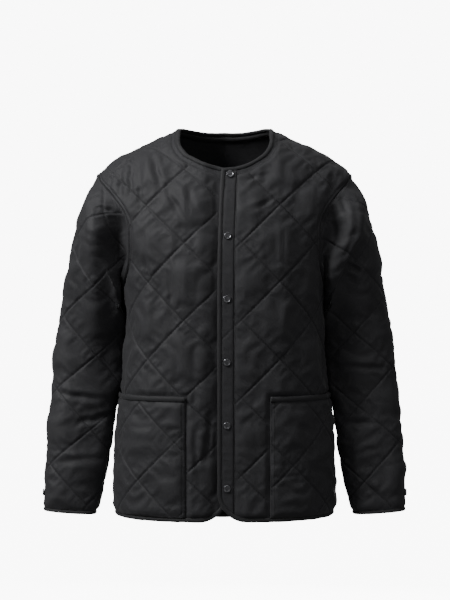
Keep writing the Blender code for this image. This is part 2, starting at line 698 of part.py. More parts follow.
# ---------------------------------------------------------------- sleeves
class Sleeve:
    """A tube of rings from the armhole to the cuff, with its own flat pattern.

    turn goes once round from the outer line over the front; row counts the rings down.
    On the pattern, c is the girth from the outer line at one level and l is the height
    along the tube above the cuff."""

    COLUMNS = 96
    LEVEL = 6 * MM

    def __init__(self, name, side):
        self.name, self.side = name, side
        half = self.COLUMNS // 2
        self.turns = np.linspace(0, 1, self.COLUMNS + 1)
        shares = self.turns[:half + 1] * 2
        front = even_points(body(armhole(False, np.linspace(0, 1, 200)), False)[0], shares)
        back = even_points(body(armhole(True, np.linspace(0, 1, 200)), True)[0], shares)
        rings = [np.concatenate([front, back[::-1][1:]])]
        rings += [self.ring(*row) for row in zip(*SLEEVE.values())]
        self.rings = np.array(rings)
        steps = np.linalg.norm(np.diff(self.rings, axis=0), axis=2)
        self.length = np.concatenate([np.cumsum(steps[::-1], 0)[::-1], 0 * steps[:1]])
        levels = np.arange(0, self.length.max() + self.LEVEL, self.LEVEL)
        rows = np.arange(len(rings), dtype=float)
        at_level = np.stack([np.interp(-levels, -self.length[:, k], rows)
                             for k in range(self.COLUMNS + 1)], 1)
        places = self.at(np.tile(self.turns, len(levels)), at_level.ravel())
        places = places.reshape(len(levels), -1, 3)
        around = np.linalg.norm(np.diff(places, axis=1), axis=2).cumsum(1)
        around = np.concatenate([np.zeros((len(levels), 1)), around], 1)
        self.front_arc = around[:, :half + 1]
        self.back_arc = (around[:, -1:] - around[:, half:])[:, ::-1]

    def ring(self, outer_x, outer_z, inner_x, inner_z, half_depth, centre_y):
        """One section, evenly round from its outer point over the front."""
        turn = np.linspace(0, math.pi, 181)
        chord = np.sign(np.cos(turn)) * np.abs(np.cos(turn)) ** (2 / SLEEVE_POWER)
        bulge = np.sin(turn).clip(0) ** (2 / SLEEVE_POWER)
        middle = np.array([outer_x + inner_x, 2 * centre_y, outer_z + inner_z]) / 2
        reach = np.array([outer_x - inner_x, 0, outer_z - inner_z]) / 2
        front = middle + chord[:, None] * reach - bulge[:, None] * np.array([0, half_depth, 0])
        front = even_points(front, self.turns[:self.COLUMNS // 2 + 1] * 2)
        rear = front[::-1][1:] * [1, -1, 1] + np.array([0, 2 * centre_y, 0])
        return np.concatenate([front, rear])

    def column(self, turn):
        """Nearest lower column of a turn, and how far on from it."""
        spot = (turn % 1) * self.COLUMNS
        k = np.clip(spot.astype(int), 0, self.COLUMNS - 1)
        return k, spot - k

    def at(self, turn, row):
        """Points of the tube, for the wearer's left."""
        last = len(self.rings) - 1
        row = np.clip(row, 0, last)
        i = np.clip(row.astype(int), 0, last - 1)
        u = (row - i)[:, None]
        k, v = self.column(turn)

        def pick(j):
            j = np.clip(j, 0, last)
            return self.rings[j, k] * (1 - v)[:, None] + self.rings[j, k + 1] * v[:, None]
        before, a, b, after = pick(i - 1), pick(i), pick(i + 1), pick(i + 2)
        return 0.5 * (2 * a + (b - before) * u + (2 * before - 5 * a + 4 * b - after) * u ** 2
                      + (3 * a - before - 3 * b + after) * u ** 3)

    def arcs(self, level, back):
        """Girth from the outer line to each column of one half, at levels."""
        table_ = self.back_arc if back else self.front_arc
        spot = np.clip(level / self.LEVEL, 0, len(table_) - 1.001)
        j = spot.astype(int)
        return table_[j] * (1 - spot + j)[:, None] + table_[j + 1] * (spot - j)[:, None]

    def locate(self, points):
        """Turn and row of pattern points."""
        turn = np.zeros(len(points))
        for back in (False, True):
            chosen = np.flatnonzero((points[:, 0] < 0) == back)
            arcs = self.arcs(points[chosen, 1], back)
            reach = np.abs(points[chosen, 0])
            k = np.clip((arcs < reach[:, None]).sum(1), 1, arcs.shape[1] - 1)
            n = np.arange(len(chosen))
            low, high = arcs[n, k - 1], arcs[n, k]
            part = np.clip((reach - low) / np.maximum(high - low, 1e-9), 0, 1)
            turn[chosen] = (k - 1 + part) / self.COLUMNS * (-1 if back else 1)
        k, v = self.column(turn)
        lengths = self.length[:, k] * (1 - v) + self.length[:, k + 1] * v
        i = np.clip((lengths > points[:, 1]).sum(0) - 1, 0, len(lengths) - 2)
        n = np.arange(len(points))
        low, high = lengths[i, n], lengths[i + 1, n]
        return turn, i + np.clip((low - points[:, 1]) / (low - high), 0, 1)

    def pattern(self, turn, row):
        """Pattern points of turns, from -0.5 to 0.5, on one row."""
        k, v = self.column(turn)
        level = self.length[row, k] * (1 - v) + self.length[row, k + 1] * v
        spot = np.abs(turn) * self.COLUMNS
        places = np.arange(self.COLUMNS // 2 + 1)
        c = [np.interp(x, places, self.arcs(np.array([y]), z < 0)[0]) * np.sign(z)
             for x, y, z in zip(spot, level, turn)]
        return np.stack([np.array(c), level], 1)

    def seam(self, side, levels):
        """Pattern points of the underarm seam on its front or back edge."""
        return np.stack([self.arcs(levels, side < 0)[:, -1] * side, levels], 1)

    def cuff(self, count):
        """Pattern points once round at the binding's seam, from the underarm."""
        (back,), (front,) = [self.seam(side, np.array([BINDING]))[:, 0] for side in (-1, 1)]
        return np.stack([np.linspace(back, front, count), np.full(count, BINDING)], 1)

    def snap(self):
        """Pattern place of the cuff's snap."""
        return np.array([CUFF_SNAP_TURN * 2 * self.front_arc[0, -1], CUFF_SNAP_UP])

    def out(self, turn, row):
        """Outward normals at turn and row."""
        low, high = np.maximum(row - 0.05, 0), np.minimum(row + 0.05, len(self.rings) - 1)
        round_ = self.at(turn + 0.004, row) - self.at(turn - 0.004, row)
        cross = np.cross(round_, self.at(turn, high) - self.at(turn, low))
        cross /= np.linalg.norm(cross, axis=1)[:, None]
        return cross * np.array([self.side, 1, 1])

    def form(self, points):
        """Inner face with its folds, and outward normals."""
        turn, row = self.locate(points)
        place = self.at(turn, row) * np.array([self.side, 1, 1])
        out = self.out(turn, row)
        fade = ease(row / 1.6) * ease(points[:, 1] / (30 * MM))
        depth = fold_depth(points, self.name, SLEEVE_FOLDS) * fade
        return place - out * depth[:, None], out

    def armhole_turns(self, back):
        """Turns of the armhole's points, from the shoulder tip to the armpit."""
        turns = np.linspace(0, 0.5, ARMHOLE_POINTS)
        return -turns if back else turns

    def mitres(self, back):
        """Shared rim direction of body and sleeve at each armhole point."""
        turn = self.armhole_turns(back)
        hole = armhole(back, np.linspace(0, 1, ARMHOLE_POINTS))
        flat = body_normals(hole, back) * np.array([self.side, 1, 1])
        both = flat + self.out(turn, np.zeros(len(turn)))
        size = np.linalg.norm(both, axis=1)
        return both / size[:, None] / np.maximum(size / 2, 0.42)[:, None]


def body_normals(points, back):
    """Outward normals of the plain body form."""
    sign = -1 if back else 1
    return normals(lambda p: body(p, back)[0], points) * sign


def make_sleeve(sleeve, cloth, tape, metal):
    """One quilted sleeve, its cuff binding and its snap."""
    quilt = QUILTS[sleeve.name]
    cap_turns = np.concatenate([sleeve.armhole_turns(False)[::-1], sleeve.armhole_turns(True)[1:]])
    cap = sleeve.pattern(cap_turns, 0)
    levels = np.linspace(cap[-1, 1], BINDING, 22)[1:-1]
    cap[:, 1] -= SEAM_GAP * (1.8 + 12 * np.abs(cap_turns))
    back_seam, front_seam = sleeve.seam(-1, levels), sleeve.seam(1, levels[::-1])
    cuff = sleeve.cuff(17)
    outline = np.concatenate([cap, back_seam, cuff, front_seam])
    points, faces = cut(outline, quilt)
    within, out = sleeve.form(points)
    padding = puff(points, quilt)
    padding[:len(outline)] = 0
    turn = sleeve.locate(points)[0]
    inner = 1 - ease((0.5 - np.abs(turn)) / 0.17)
    padding *= 1 - ARM_PRESS * inner * ease((points[:, 1] - 0.12) / 0.06)
    snap = sleeve.snap()
    padding *= ease(np.linalg.norm(points - snap, axis=1) / (26 * MM) - 0.4)
    mitre = np.concatenate([sleeve.mitres(False)[::-1], sleeve.mitres(True)[1:]])
    out[:len(cap)] = mitre
    without = within + out * (STITCH + (CROWN - STITCH) * padding)[:, None]
    first_back, first_front = len(cap), len(cap) + len(back_seam) + len(cuff)
    same = {len(cap) - 1: 0, first_front - 1: first_back + len(back_seam)}
    for n in range(len(back_seam)):
        same[first_front + n] = first_back + len(back_seam) - 1 - n
    faces = [tuple(same.get(v, v) for v in face) for face in faces]
    if sleeve.side > 0:
        faces = [face[::-1] for face in faces]
    wall(sleeve.name, within, without, faces, cloth)
    which = sleeve.name.split("_")[0]
    levels = BINDING - BINDING_ACROSS
    stations = np.stack(np.broadcast_arrays(cuff[:-1, :1], levels[None, :]), 2)
    strip(which + "_cuff_binding", sleeve.form, stations, BINDING_FACES, -sleeve.side, tape,
          closed=True)
    place, out = sleeve.form(snap[None])
    make_cap(which + "_cuff_snap", place[0] + out[0] * (STITCH + 0.5 * MM), out[0], metal)


COLLECTION = "quilted jacket"
for old in list(bpy.data.objects):
    bpy.data.objects.remove(old)
bpy.context.scene.collection.children.link(bpy.data.collections.new(COLLECTION))
main()
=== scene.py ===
"""Looks of the quilted jacket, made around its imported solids.

Metres, +Z up, front towards -Y, the wearer's left at +X.  The origin lies between the
shoulders.  Each piece of cloth is cut in its own flat pattern, across and up, and is
laid on the body form or the sleeve form.
"""
import math

import bpy
import numpy as np
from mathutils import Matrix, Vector
from mathutils.geometry import delaunay_2d_cdt


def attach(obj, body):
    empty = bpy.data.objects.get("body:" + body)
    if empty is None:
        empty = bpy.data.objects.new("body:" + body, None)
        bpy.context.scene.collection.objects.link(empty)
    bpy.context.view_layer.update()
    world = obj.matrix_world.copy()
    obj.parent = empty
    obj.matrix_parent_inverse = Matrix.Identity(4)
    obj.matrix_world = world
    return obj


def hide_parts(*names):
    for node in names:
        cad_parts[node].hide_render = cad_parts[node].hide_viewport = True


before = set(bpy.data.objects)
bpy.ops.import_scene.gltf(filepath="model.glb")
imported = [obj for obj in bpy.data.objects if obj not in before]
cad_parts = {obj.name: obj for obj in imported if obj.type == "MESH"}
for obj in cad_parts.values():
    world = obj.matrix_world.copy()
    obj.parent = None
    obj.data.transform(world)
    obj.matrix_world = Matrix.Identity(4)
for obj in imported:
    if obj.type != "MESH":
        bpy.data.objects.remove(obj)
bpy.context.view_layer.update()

MM = 0.001


def table(columns, rows):
    """Rows in millimetres under named columns, as arrays in metres."""
    values = np.array(rows, float) * MM
    return {name: values[:, i] for i, name in enumerate(columns.split())}


# ---------------------------------------------------------------- body form
ARMPIT = -300 * MM
RING_POWER = 2.5          # level sections: 2 is an ellipse, more is squarer
CROWN_POWER = 2.2         # the same for the rise from the armpit to the shoulder
BODY = table("height half_width front_depth back_depth", [
    (-740, 192, 135, 138), (-620, 192, 136, 137), (-540, 189, 138, 135),
    (-480, 183, 139, 134), (-430, 179, 140, 133), (-360, 174, 141, 132),
    (-300, 175, 141, 132), (-240, 184, 141, 130), (-180, 206, 140, 128),
    (-120, 228, 140, 128), (-60, 237, 140, 128), (90, 237, 140, 128)])
SHOULDER = table("across height", [
    (0, 19), (40, 11), (82, -3), (121, -19), (147, -31.5), (162, -39),
    (193, -55), (213, -70), (226, -84), (240, -106)])
SHOULDER_TIP = 224 * MM   # where the shoulder seam meets the sleeve

# ---------------------------------------------------------------- cut lines
HEM = -684 * MM           # finished lower edge of the fronts
BACK_DROP = 32 * MM       # the back hangs this much lower at its centre
CORNER = 46 * MM          # round lower front corners, at the cut edge
LAP_EDGE = -5.5 * MM      # cut edge of the left front, on top
UNDER_EDGE = 2.5 * MM     # cut edge of the right front, below it
PLACKET_SEAM = 16 * MM    # stitching line of the snap band
LEAN = 6 * MM             # the closure leans this much at the neck
LEAN_FOOT = -300 * MM
LEAN_TOP = -80 * MM
LAP_DROP = 7.5 * MM       # the right front sinks this much below the placket
LAP_FADE = 42 * MM        # it starts to sink this far from the middle
LAP_RUN = 0.62            # share of that distance over which it sinks
LAP_PRESS = 0.85          # share of its loft that is flat below the placket
LAP_PRESSED = 26 * MM
LAP_PRESS_FADE = 16 * MM
FRONT_NECK = table("across height", [
    (0, -81.5), (14, -79.5), (36, -72.5), (57, -60), (73, -46), (84, -21), (85.2, 10),
    (85.5, 50)])
BACK_NECK = table("across height", [
    (0, 9), (20, 9.5), (46, 15), (67, 27), (81.5, 44), (85.5, 56)])
NECK_STAND = 3 * MM       # the bound neck stands up this much
NECK_FADE = 18 * MM
NECK_SIDE = 85.5 * MM     # across, at the shoulder seam
FRONT_ARMHOLE = table("height inset", [
    (-60, 72), (-87, 70), (-103, 84), (-119, 98), (-145, 112), (-170, 114),
    (-202, 102), (-240, 80), (-270, 51), (-290, 22), (-300, 0)])
BACK_ARMHOLE = table("height inset", [
    (-60, 66), (-87, 64), (-103, 74), (-119, 84), (-145, 94), (-170, 95),
    (-202, 84), (-240, 66), (-270, 43), (-290, 19), (-300, 0)])

# ---------------------------------------------------------------- sleeve form
# The upper arm hangs a little further forward and nearer the body than its solid, so
# that sleeve and side meet below the armhole.
SLEEVE_POWER = 2.5
SLEEVE = table("outer_x outer_z inner_x inner_z half_depth centre_y", [
    (243.5, -122, 180.8, -316, 80, -11), (257, -160, 176.8, -331, 72.25, -7.25),
    (266.5, -196, 175.6, -345, 64.5, -3.5), (275, -232, 176.4, -357, 57, 0.5),
    (280.5, -268, 178.2, -369, 50.25, 4.25), (288, -304, 178.8, -383, 45.25, 7.75),
    (293.5, -340, 180, -400, 41.5, 9.5), (299, -376, 181.6, -419, 38.5, 9.5),
    (304, -412, 181.5, -440, 36.25, 8.75), (307, -448, 184, -463, 34.5, 7),
    (309, -484, 195, -490, 34, 4), (312.5, -520, 200, -521, 33.5, 0),
    (316, -556, 206, -556, 33, -4), (318.5, -592, 212, -592, 32.5, -8),
    (320.5, -628, 219, -629, 31.5, -12), (321, -658, 226, -661, 30.5, -15),
    (319, -678.5, 233, -684.5, 30, -17)])

# ---------------------------------------------------------------- cloth and quilting
SEAM_GAP = 0.3 * MM
CAP_EASE = 0.15 * MM      # the sleeve's cap stays this much short of the armhole
CLOTH = 2.0 * MM          # quilted cloth at a quilting line or a seam
LOFT = 4.3 * MM           # how much the wadding lifts the middle of a diamond
QUILT_WIDTH = 67 * MM     # half diagonals of a diamond
QUILT_HEIGHT = 66.4 * MM
LINE_SPACING = 2 * QUILT_WIDTH * QUILT_HEIGHT / math.hypot(QUILT_WIDTH, QUILT_HEIGHT)
CELLS = 24                # mesh cells to a half diagonal
BACK_CELLS = 20           # the back is large, so its cells are too
EDGE_PITCH = 3 * MM       # points along the cut lines
QUILTS = {                # where two quilting lines cross, across and up, mm
    "right_front": (-69.5, -207), "left_front": (28.5, -205.5), "back_panel": (0, -172),
    "right_pocket": (-85, -548), "left_pocket": (118, -588),
    "right_sleeve": (94, 416), "left_sleeve": (90, 324)}
LOFT_POWER = 0.30         # less makes the channels sharper and the diamonds flatter
BAND_POWER = 0.6          # the same for the loft beside a seam
PUCKER_REACH = 6 * MM     # puckers are deepest this far from their quilting line
PUCKER_PITCH = 7 * MM
PUCKER_DEPTH = 0.6 * MM
STITCH_DIP = 0.8 * MM     # the stitches pull the shell in this much further
STITCH_DIP_WIDTH = 1.1 * MM
CREASE = 1.6 * MM         # depth of the long creases in the shell
CREASE_WIDTH = 19 * MM
CREASE_LENGTH = 75 * MM
CREASE_PATCH = 60 * MM    # creases come and go over this distance
MIDDLE_FOLD = 2.4 * MM    # height of the fold down the middle of a diamond
MIDDLE_WIDTH = 12 * MM
MIDDLE_SWAY = 0.12        # how far it wanders, in half diagonals
# Wrinkles of the shell: the way they are spaced (0 across, 1 up), how far they sway and
# over what distances, and their height and spacings across and up.  Millimetres.
WRINKLES = {
    "body": (0, 9, (60, 80), 0.8, (15, 85)), "sleeve": (1, 12, (50, 70), 0.6, (70, 16)),
    "pocket": (1, 9, (40, 60), 0.9, (65, 13))}
GATHER = 0.15             # how much the mesh closes up towards the quilting lines
BINDING = 6.5 * MM        # visible width of the edge binding
POCKET_LIFT = 3.6 * MM    # pocket's inner face above the form
POCKET_SEWN = 2.5 * MM    # the same at its sewn edges
POCKET_CLOTH = 1.6 * MM
POCKET_LOFT = 3.4 * MM
POCKET_TOP = -469 * MM
POCKET_BINDING = 8 * MM
POCKET_RISE = 20 * MM     # the pocket lifts off the front over this width
POCKET_COVER = 10 * MM    # it presses the front from this far outside its edge
POCKET_FADE = 8 * MM
POCKETS = {"right": -66.5 * MM, "left": 78 * MM}     # across, at their upright edges

# Soft folds of the whole cloth: place, direction in degrees from across, half length,
# half width, depth of the trough and how far it bows sideways.  Millimetres.
FOLDS = [
    ("right_front", -187, -113, 92, 34, 5, 5.1, 0.2),
    ("right_front", -208, -86, 80, 16, 4, 3.6, 0),
    ("right_front", -166, -88, 90, 27, 4, 3.6, 0.3),
    ("right_front", -147, -114, 88, 26, 4, 2.4, -0.3),
    ("right_front", -118, -74, -77, 38, 5, 3.9, 0.3),
    ("right_front", -84, -142, -62, 36, 5, 3.6, -0.2),
    ("right_front", -58, -128, -70, 22, 4, 2.4, 0.2),
    ("right_front", -136, -250, 96, 30, 5, 2.7, 0.3),
    ("right_front", -92, -280, 92, 30, 5, 3.0, -0.3),
    ("right_front", -118, -330, 84, 60, 10, 2.7, 0.3),
    ("right_front", -205, -425, 70, 60, 12, 4.5, 0),
    ("right_front", -32, -550, 84, 50, 5, 3.6, 0.2),
    ("right_front", -48, -570, 98, 40, 5, 3.0, -0.2),
    ("left_front", 189, -125, 80, 46, 7, 6.9, -0.2),
    ("left_front", 205, -98, 74, 22, 5, 3.3, 0),
    ("left_front", 146, -96, 52, 40, 10, 2.7, 0.2),
    ("left_front", 52, -90, 12, 22, 4, 2.1, 0.3),
    ("left_front", 62, -140, 28, 26, 4, 2.1, -0.3),
    ("left_front", 128, -345, 96, 60, 12, 2.4, -0.3),
    ("left_front", 205, -430, 110, 60, 13, 4.5, 0),
    ("back_panel", -150, -120, 62, 60, 12, 4.8, 0.2),
    ("back_panel", 150, -120, 118, 60, 12, 4.8, -0.2),
    ("back_panel", -60, -420, 80, 70, 14, 3.8, 0.3),
    ("back_panel", 84, -455, 100, 70, 14, 3.8, -0.3),
    ("back_panel", 20, -250, 86, 50, 6, 3.0, 0.3),
    ("right_sleeve", 128, 370, 90, 165, 25, 13, 0),
    ("right_sleeve", 88, 558, 16, 13, 4, 3.0, 0),
    ("right_sleeve", 148, 480, -66, 110, 28, 30, 0.1),
    ("right_sleeve", 92, 400, 90, 100, 20, -6, 0),
    ("right_sleeve", 0, 548, 0, 60, 25, 4, 0),
    ("right_sleeve", 42, 165, 95, 130, 32, -8, 0),
    ("right_sleeve", 98, 170, 16, 32, 6, 4.2, 0.3),
    ("right_sleeve", 72, 208, -3, 36, 5, 3.8, -0.3),
    ("right_sleeve", 78, 96, 10, 34, 6, 2.8, 0.3),
    ("right_sleeve", -85, 230, 0, 56, 9, 4.5, 0.2),
    ("right_sleeve", -90, 150, -8, 50, 8, 4.0, -0.2),
    ("left_sleeve", 128, 430, 90, 165, 25, 13, 0),
    ("left_sleeve", 152, 480, -64, 95, 16, 20, 0),
    ("left_sleeve", 92, 430, 90, 70, 24, 6, 0),
    ("left_sleeve", 96, 507, -62, 54, 5, 2.5, -0.25),
    ("left_sleeve", 96, 443, 28, 26, 5, 2.8, 0),
    ("left_sleeve", 84, 560, -58, 24, 4, 2.2, 0.2),
    ("left_sleeve", 74, 262, 6, 33, 5, 3.8, 0.35),
    ("left_sleeve", 88, 162, 5, 22, 5, 3.2, 0.2),
    ("left_sleeve", 80, 112, -12, 18, 5, 2.8, 0),
    ("left_sleeve", 74, 42, 40, 15, 5, 2.2, 0),
    ("left_sleeve", -85, 230, 0, 56, 9, 4.5, 0.2),
    ("left_sleeve", -90, 150, 8, 50, 8, 4.0, -0.2)]
FOLD_RIDGE = 3.5          # the ridges beside a trough are at most half of this, mm
FOLD_FADE = 34 * MM       # folds die out this far from a cut edge
CUFF_FADE = 30 * MM       # and this far from the cuff
CAP_FADE = 0.06           # and this share of the first ring from the armhole
FOLD_ASIDE = 0.25         # a sleeve's folds sink backwards, with this much of their slant
NEAR = 40 * MM            # distances from a line are only measured this far
PLAIN_BAND = 7 * MM       # the loft rises over this width beside a plain seam
SEWN_BAND = 6 * MM        # flat width of a topstitched seam, before the loft rises
SEAM_RISE = 2.4 * MM      # the armhole's band keeps this much of its wadding
SEAM_FADE = 16 * MM
TOPSTITCH = 8 * MM        # second row of stitches beside the armhole and the neck
GROOVE = 1.0 * MM         # how far a row of topstitching pulls in
GROOVE_WIDTH = 1.3 * MM
ARM_TOP = -105 * MM       # the arm presses the body's side between these heights
ARM_FOOT = -430 * MM
ARM_SIDE = 75 * MM
ARM_PRESS = 0.8           # share of the loft that is flat where they touch
ARM_TOP_FADE = 60 * MM
ARM_FOOT_FADE = 80 * MM
ARM_TURN = 0.17           # the body presses this share of the sleeve's way round
ARM_CUFF = 120 * MM       # above this height over the cuff
ARM_CUFF_FADE = 60 * MM
SHOULDER_LOFT = 0.45      # share of the loft that is left at the shoulder seam
SHOULDER_FADE = 60 * MM
CAP_LOFT = 0.5            # the same at the top of the sleeve's cap
CAP_LOFT_TOP = 610 * MM
CAP_LOFT_FADE = 90 * MM
PLACKET_LOFT = 0.4        # the same beside the placket
PLACKET_FADE = 40 * MM

# The shell is cut a little too large for its lining and buckles between its quilting
# lines: a cloth simulation of each piece laid out flat, added to its height.
SLACK_CELLS = 16          # simulated cells to a half diagonal
SLACK_GROWTH = 0.016
SLACK_FRAMES = 12
SLACK_STIFFNESS = 30.0
SLACK_BENDING = 2.0
SLACK_MASS = 0.05         # kg to a square metre of shell
SLACK_MOST = 1.6 * MM     # the most that the shell may fall in or stand up
SLACK_REACH = 4           # cells over which a swell counts as loft, not as a wrinkle
SLACK_GAIN = 1.6
SLACK_HELD = 0.12         # share of the loft below which the cloth is held flat
SLACK_SEWN = 0.02         # the same for the distance from a quilting line
SLACK_FADE = 3 * MM       # wrinkles die out this far from a quilting line
MITRE_REACH = 12 * MM     # over which the cloth turns to meet the armhole seam

# ---------------------------------------------------------------- sewing
STITCH_PITCH = 3.2 * MM
STITCH_LENGTH = 2.6 * MM
THREAD = 0.6 * MM
SEAM_STITCH = 1.8 * MM    # first row of stitches beside a seam
PLACKET_STITCH = 1.6 * MM
POCKET_STITCH = 6.5 * MM  # second row beside a pocket's upright edge
QUILT_END = 2 * MM        # the quilting stops this far from a cut edge
BINDING_STITCH = -0.5 * MM     # stitches on the binding, from its cut line
BINDING_STITCH_HEIGHT = 3.25 * MM
MOUTH_STITCH_HEIGHT = POCKET_LIFT + 2.75 * MM
# Sections of the folded tapes from their cut line outwards, across and height, mm.
BINDING_PATH = [(-1.2, 2.35), (0.2, 3.0), (2.0, 3.7), (4.2, 3.75), (5.7, 2.95), (6.35, 1.6),
                (5.8, 0.25), (4.2, -0.55), (2.0, -0.6), (0.2, -0.5), (-1.2, -0.45)]
MOUTH_PATH = [(-1.2, 5.7), (0.3, 6.3), (2.5, 6.9), (5.2, 6.9), (7.0, 6.1), (7.65, 4.9),
              (7.0, 3.7), (5.0, 3.1), (2.5, 3.0), (0.3, 3.1), (-1.2, 3.15)]
NECK_TAPE = [(-11, -2.0), (-11, -1.2), (-6, -1.0), (-1.5, -1.2), (-1.5, -2.0), (-6, -2.4)]
TAPE_HALF = 0.35          # half the tape's thickness, mm
TAPE_RIPPLE = 0.05        # share by which a tape's section swells and shrinks
RIPPLE_PITCH = 11 * MM

# ---------------------------------------------------------------- snaps and placket
SNAP_ACROSS = 4 * MM
SNAP_TOP = -87 * MM
SNAP_SPACING = 107.7 * MM
SNAP_COUNT = 6
SNAP_SIDES = 40
SNAP_PROFILE = [          # radius and height, from the middle of the cap to its foot, mm
    (1.2, 1.95), (3.0, 1.85), (4.0, 1.7), (4.35, 1.75), (4.8, 2.15), (5.3, 2.3),
    (5.8, 2.15), (6.15, 1.7), (6.3, 1.0), (6.2, 0.4), (5.8, 0.0)]
SNAP_DENT = 0.45 * MM     # the placket is pressed in round a snap
SNAP_DENT_REACH = 9 * MM
SNAP_CLEAR = 22 * MM      # the sleeve's loft is back this far from the cuff's snap
SNAP_FLAT = 0.35          # and flat up to this share of it
CUFF_SNAP_STAND = 0.3 * MM
PLACKET_THICK = 3.2 * MM
PLACKET_EDGE = 2.6 * MM   # its thickness along its edges
PLACKET_CELL = 1.6 * MM
PLACKET_LINE_ACROSS = -5 * MM     # a quilting line of the front crosses the placket
PLACKET_LINE_UP = -372 * MM       # through this point, rising to the wearer's left
PLACKET_LINE_DEPTH = 0.7 * MM
PLACKET_LINE_WIDTH = 2.2 * MM
CUFF_SNAP_UP = 33 * MM
CUFF_SNAP_TURN = 0.035    # of the way round, from the outer line to the front

# ---------------------------------------------------------------- camera and light
EYE = (0.0009, -2.6, -0.304)
LENS = 86.67
FLOOR_HEIGHT = -1.45
SENSOR = 36
FLOOR_SIZE = 30.0
BACKDROP = 9.0            # brightness of the paper behind and below, seen by the camera
AMBIENT = 0.11            # brightness of the studio's walls, seen by the jacket
AIM = (0, 0, -0.3)        # the lights point here
LIGHTS = {                # place, size and power
    "key": ((-2.0, -1.3, 1.4), 0.9, 74), "fill": ((1.6, -2.8, 0.5), 2.0, 9),
    "top": ((0.0, -0.8, 2.1), 1.4, 13), "back": ((0.3, 3.2, -0.2), 2.0, 45)}


# ---------------------------------------------------------------- curves
def smooth(known, values, at):
    """Smooth curve through the values at the known places, which increase."""
    at = np.clip(at, known[0], known[-1])
    slope = np.gradient(values, known)
    i = np.clip(np.searchsorted(known, at) - 1, 0, len(known) - 2)
    span = known[i + 1] - known[i]
    u = (at - known[i]) / span
    start = (1 + 2 * u) * (1 - u) ** 2 * values[i] + u * (1 - u) ** 2 * span * slope[i]
    end = u * u * (3 - 2 * u) * values[i + 1] + u * u * (u - 1) * span * slope[i + 1]
    return start + end


def ease(x):
    """0 to 1 with level ends."""
    x = np.clip(x, 0, 1)
    return x * x * (3 - 2 * x)


def rising(low, x):
    """low to 1 with level ends."""
    return low + (1 - low) * ease(x)


RANDOM = np.random.default_rng(7).uniform(-1, 1, (256, 256))


def uneven(across, up, seed):
    """Smooth chance from -1 to 1, one swell to a unit of across and of up."""
    column, row = np.floor(across), np.floor(up)
    u, v = ease(across - column), ease(up - row)
    i = (column.astype(int) + 37 * seed) % 255
    j = (row.astype(int) + 59 * seed) % 255
    low = RANDOM[i, j] * (1 - u) + RANDOM[i + 1, j] * u
    high = RANDOM[i, j + 1] * (1 - u) + RANDOM[i + 1, j + 1] * u
    return low * (1 - v) + high * v


def along(points):
    """Distance along a row of points."""
    steps = np.linalg.norm(np.diff(points, axis=0), axis=1)
    return np.concatenate([[0], np.cumsum(steps)])


def even_points(points, fractions):
    """Points at fractions of the whole length of a row of points."""
    length = along(points)
    at = np.asarray(fractions) * length[-1]
    return np.stack([np.interp(at, length, points[:, k]) for k in range(points.shape[1])], 1)


def spaced(points, pitch):
    """The row of points again, evenly spaced about a pitch apart."""
    count = max(int(round(along(points)[-1] / pitch)), 1)
    return even_points(points, np.linspace(0, 1, count + 1))


def beside(line, side):
    """Unit directions square to a row of pattern points, to its right for side 1."""
    run = np.gradient(line, axis=0)
    run /= np.linalg.norm(run, axis=1)[:, None]
    return np.stack([run[:, 1], -run[:, 0]], 1) * side


def edge_distance(points, line, closed=False):
    """Distance of pattern points from a row of points, where they are near it."""
    best = np.full(len(points), NEAR ** 2)
    starts, ends = (line, np.roll(line, -1, axis=0)) if closed else (line[:-1], line[1:])
    for n in range(0, len(starts), 12):
        a, b = starts[n:n + 12], ends[n:n + 12]
        low, high = np.minimum(a, b).min(0) - NEAR, np.maximum(a, b).max(0) + NEAR
        near = np.flatnonzero(((points > low) & (points < high)).all(1))
        run, away = b - a, points[near][:, None] - a
        part = np.clip((away * run).sum(2) / np.maximum((run * run).sum(1), 1e-18), 0, 1)
        away = away - part[:, :, None] * run
        best[near] = np.minimum(best[near], (away * away).sum(2).min(1))
    return np.sqrt(best)


def inside(points, outline):
    """Whether pattern points are inside a closed outline."""
    result = np.zeros(len(points), bool)
    x, y = points[:, 0], points[:, 1]
    for a, b in zip(outline, np.roll(outline, -1, axis=0)):
        if a[1] == b[1]:
            continue
        crosses = (a[1] > y) != (b[1] > y)
        result ^= crosses & (x < a[0] + (y - a[1]) * (b[0] - a[0]) / (b[1] - a[1]))
    return result


def mirrored(points):
    """The same run of points on the other side of the middle, in reverse."""
    return points[::-1] * np.array([-1, 1])


# ---------------------------------------------------------------- body form
TURN = np.linspace(0, math.pi / 2, 121)


def quarter(across, up, power, reach):
    """Point of a quarter superellipse a given length along it, and its whole length."""
    row_a = across[:, None] * np.sin(TURN) ** (2 / power)
    row_b = up[:, None] * np.cos(TURN) ** (2 / power)
    steps = np.hypot(np.diff(row_a, axis=1), np.diff(row_b, axis=1))
    length = np.concatenate([np.zeros((len(across), 1)), np.cumsum(steps, 1)], 1)
    k = np.clip((length < reach[:, None]).sum(1), 1, len(TURN) - 1)
    row = np.arange(len(reach))
    low, high = length[row, k - 1], length[row, k]
    part = np.clip((reach - low) / np.maximum(high - low, 1e-12), 0, 1)
    turn = TURN[k - 1] + part * (TURN[k] - TURN[k - 1])
    return (across * np.sin(turn) ** (2 / power), up * np.cos(turn) ** (2 / power),
            length[:, -1])


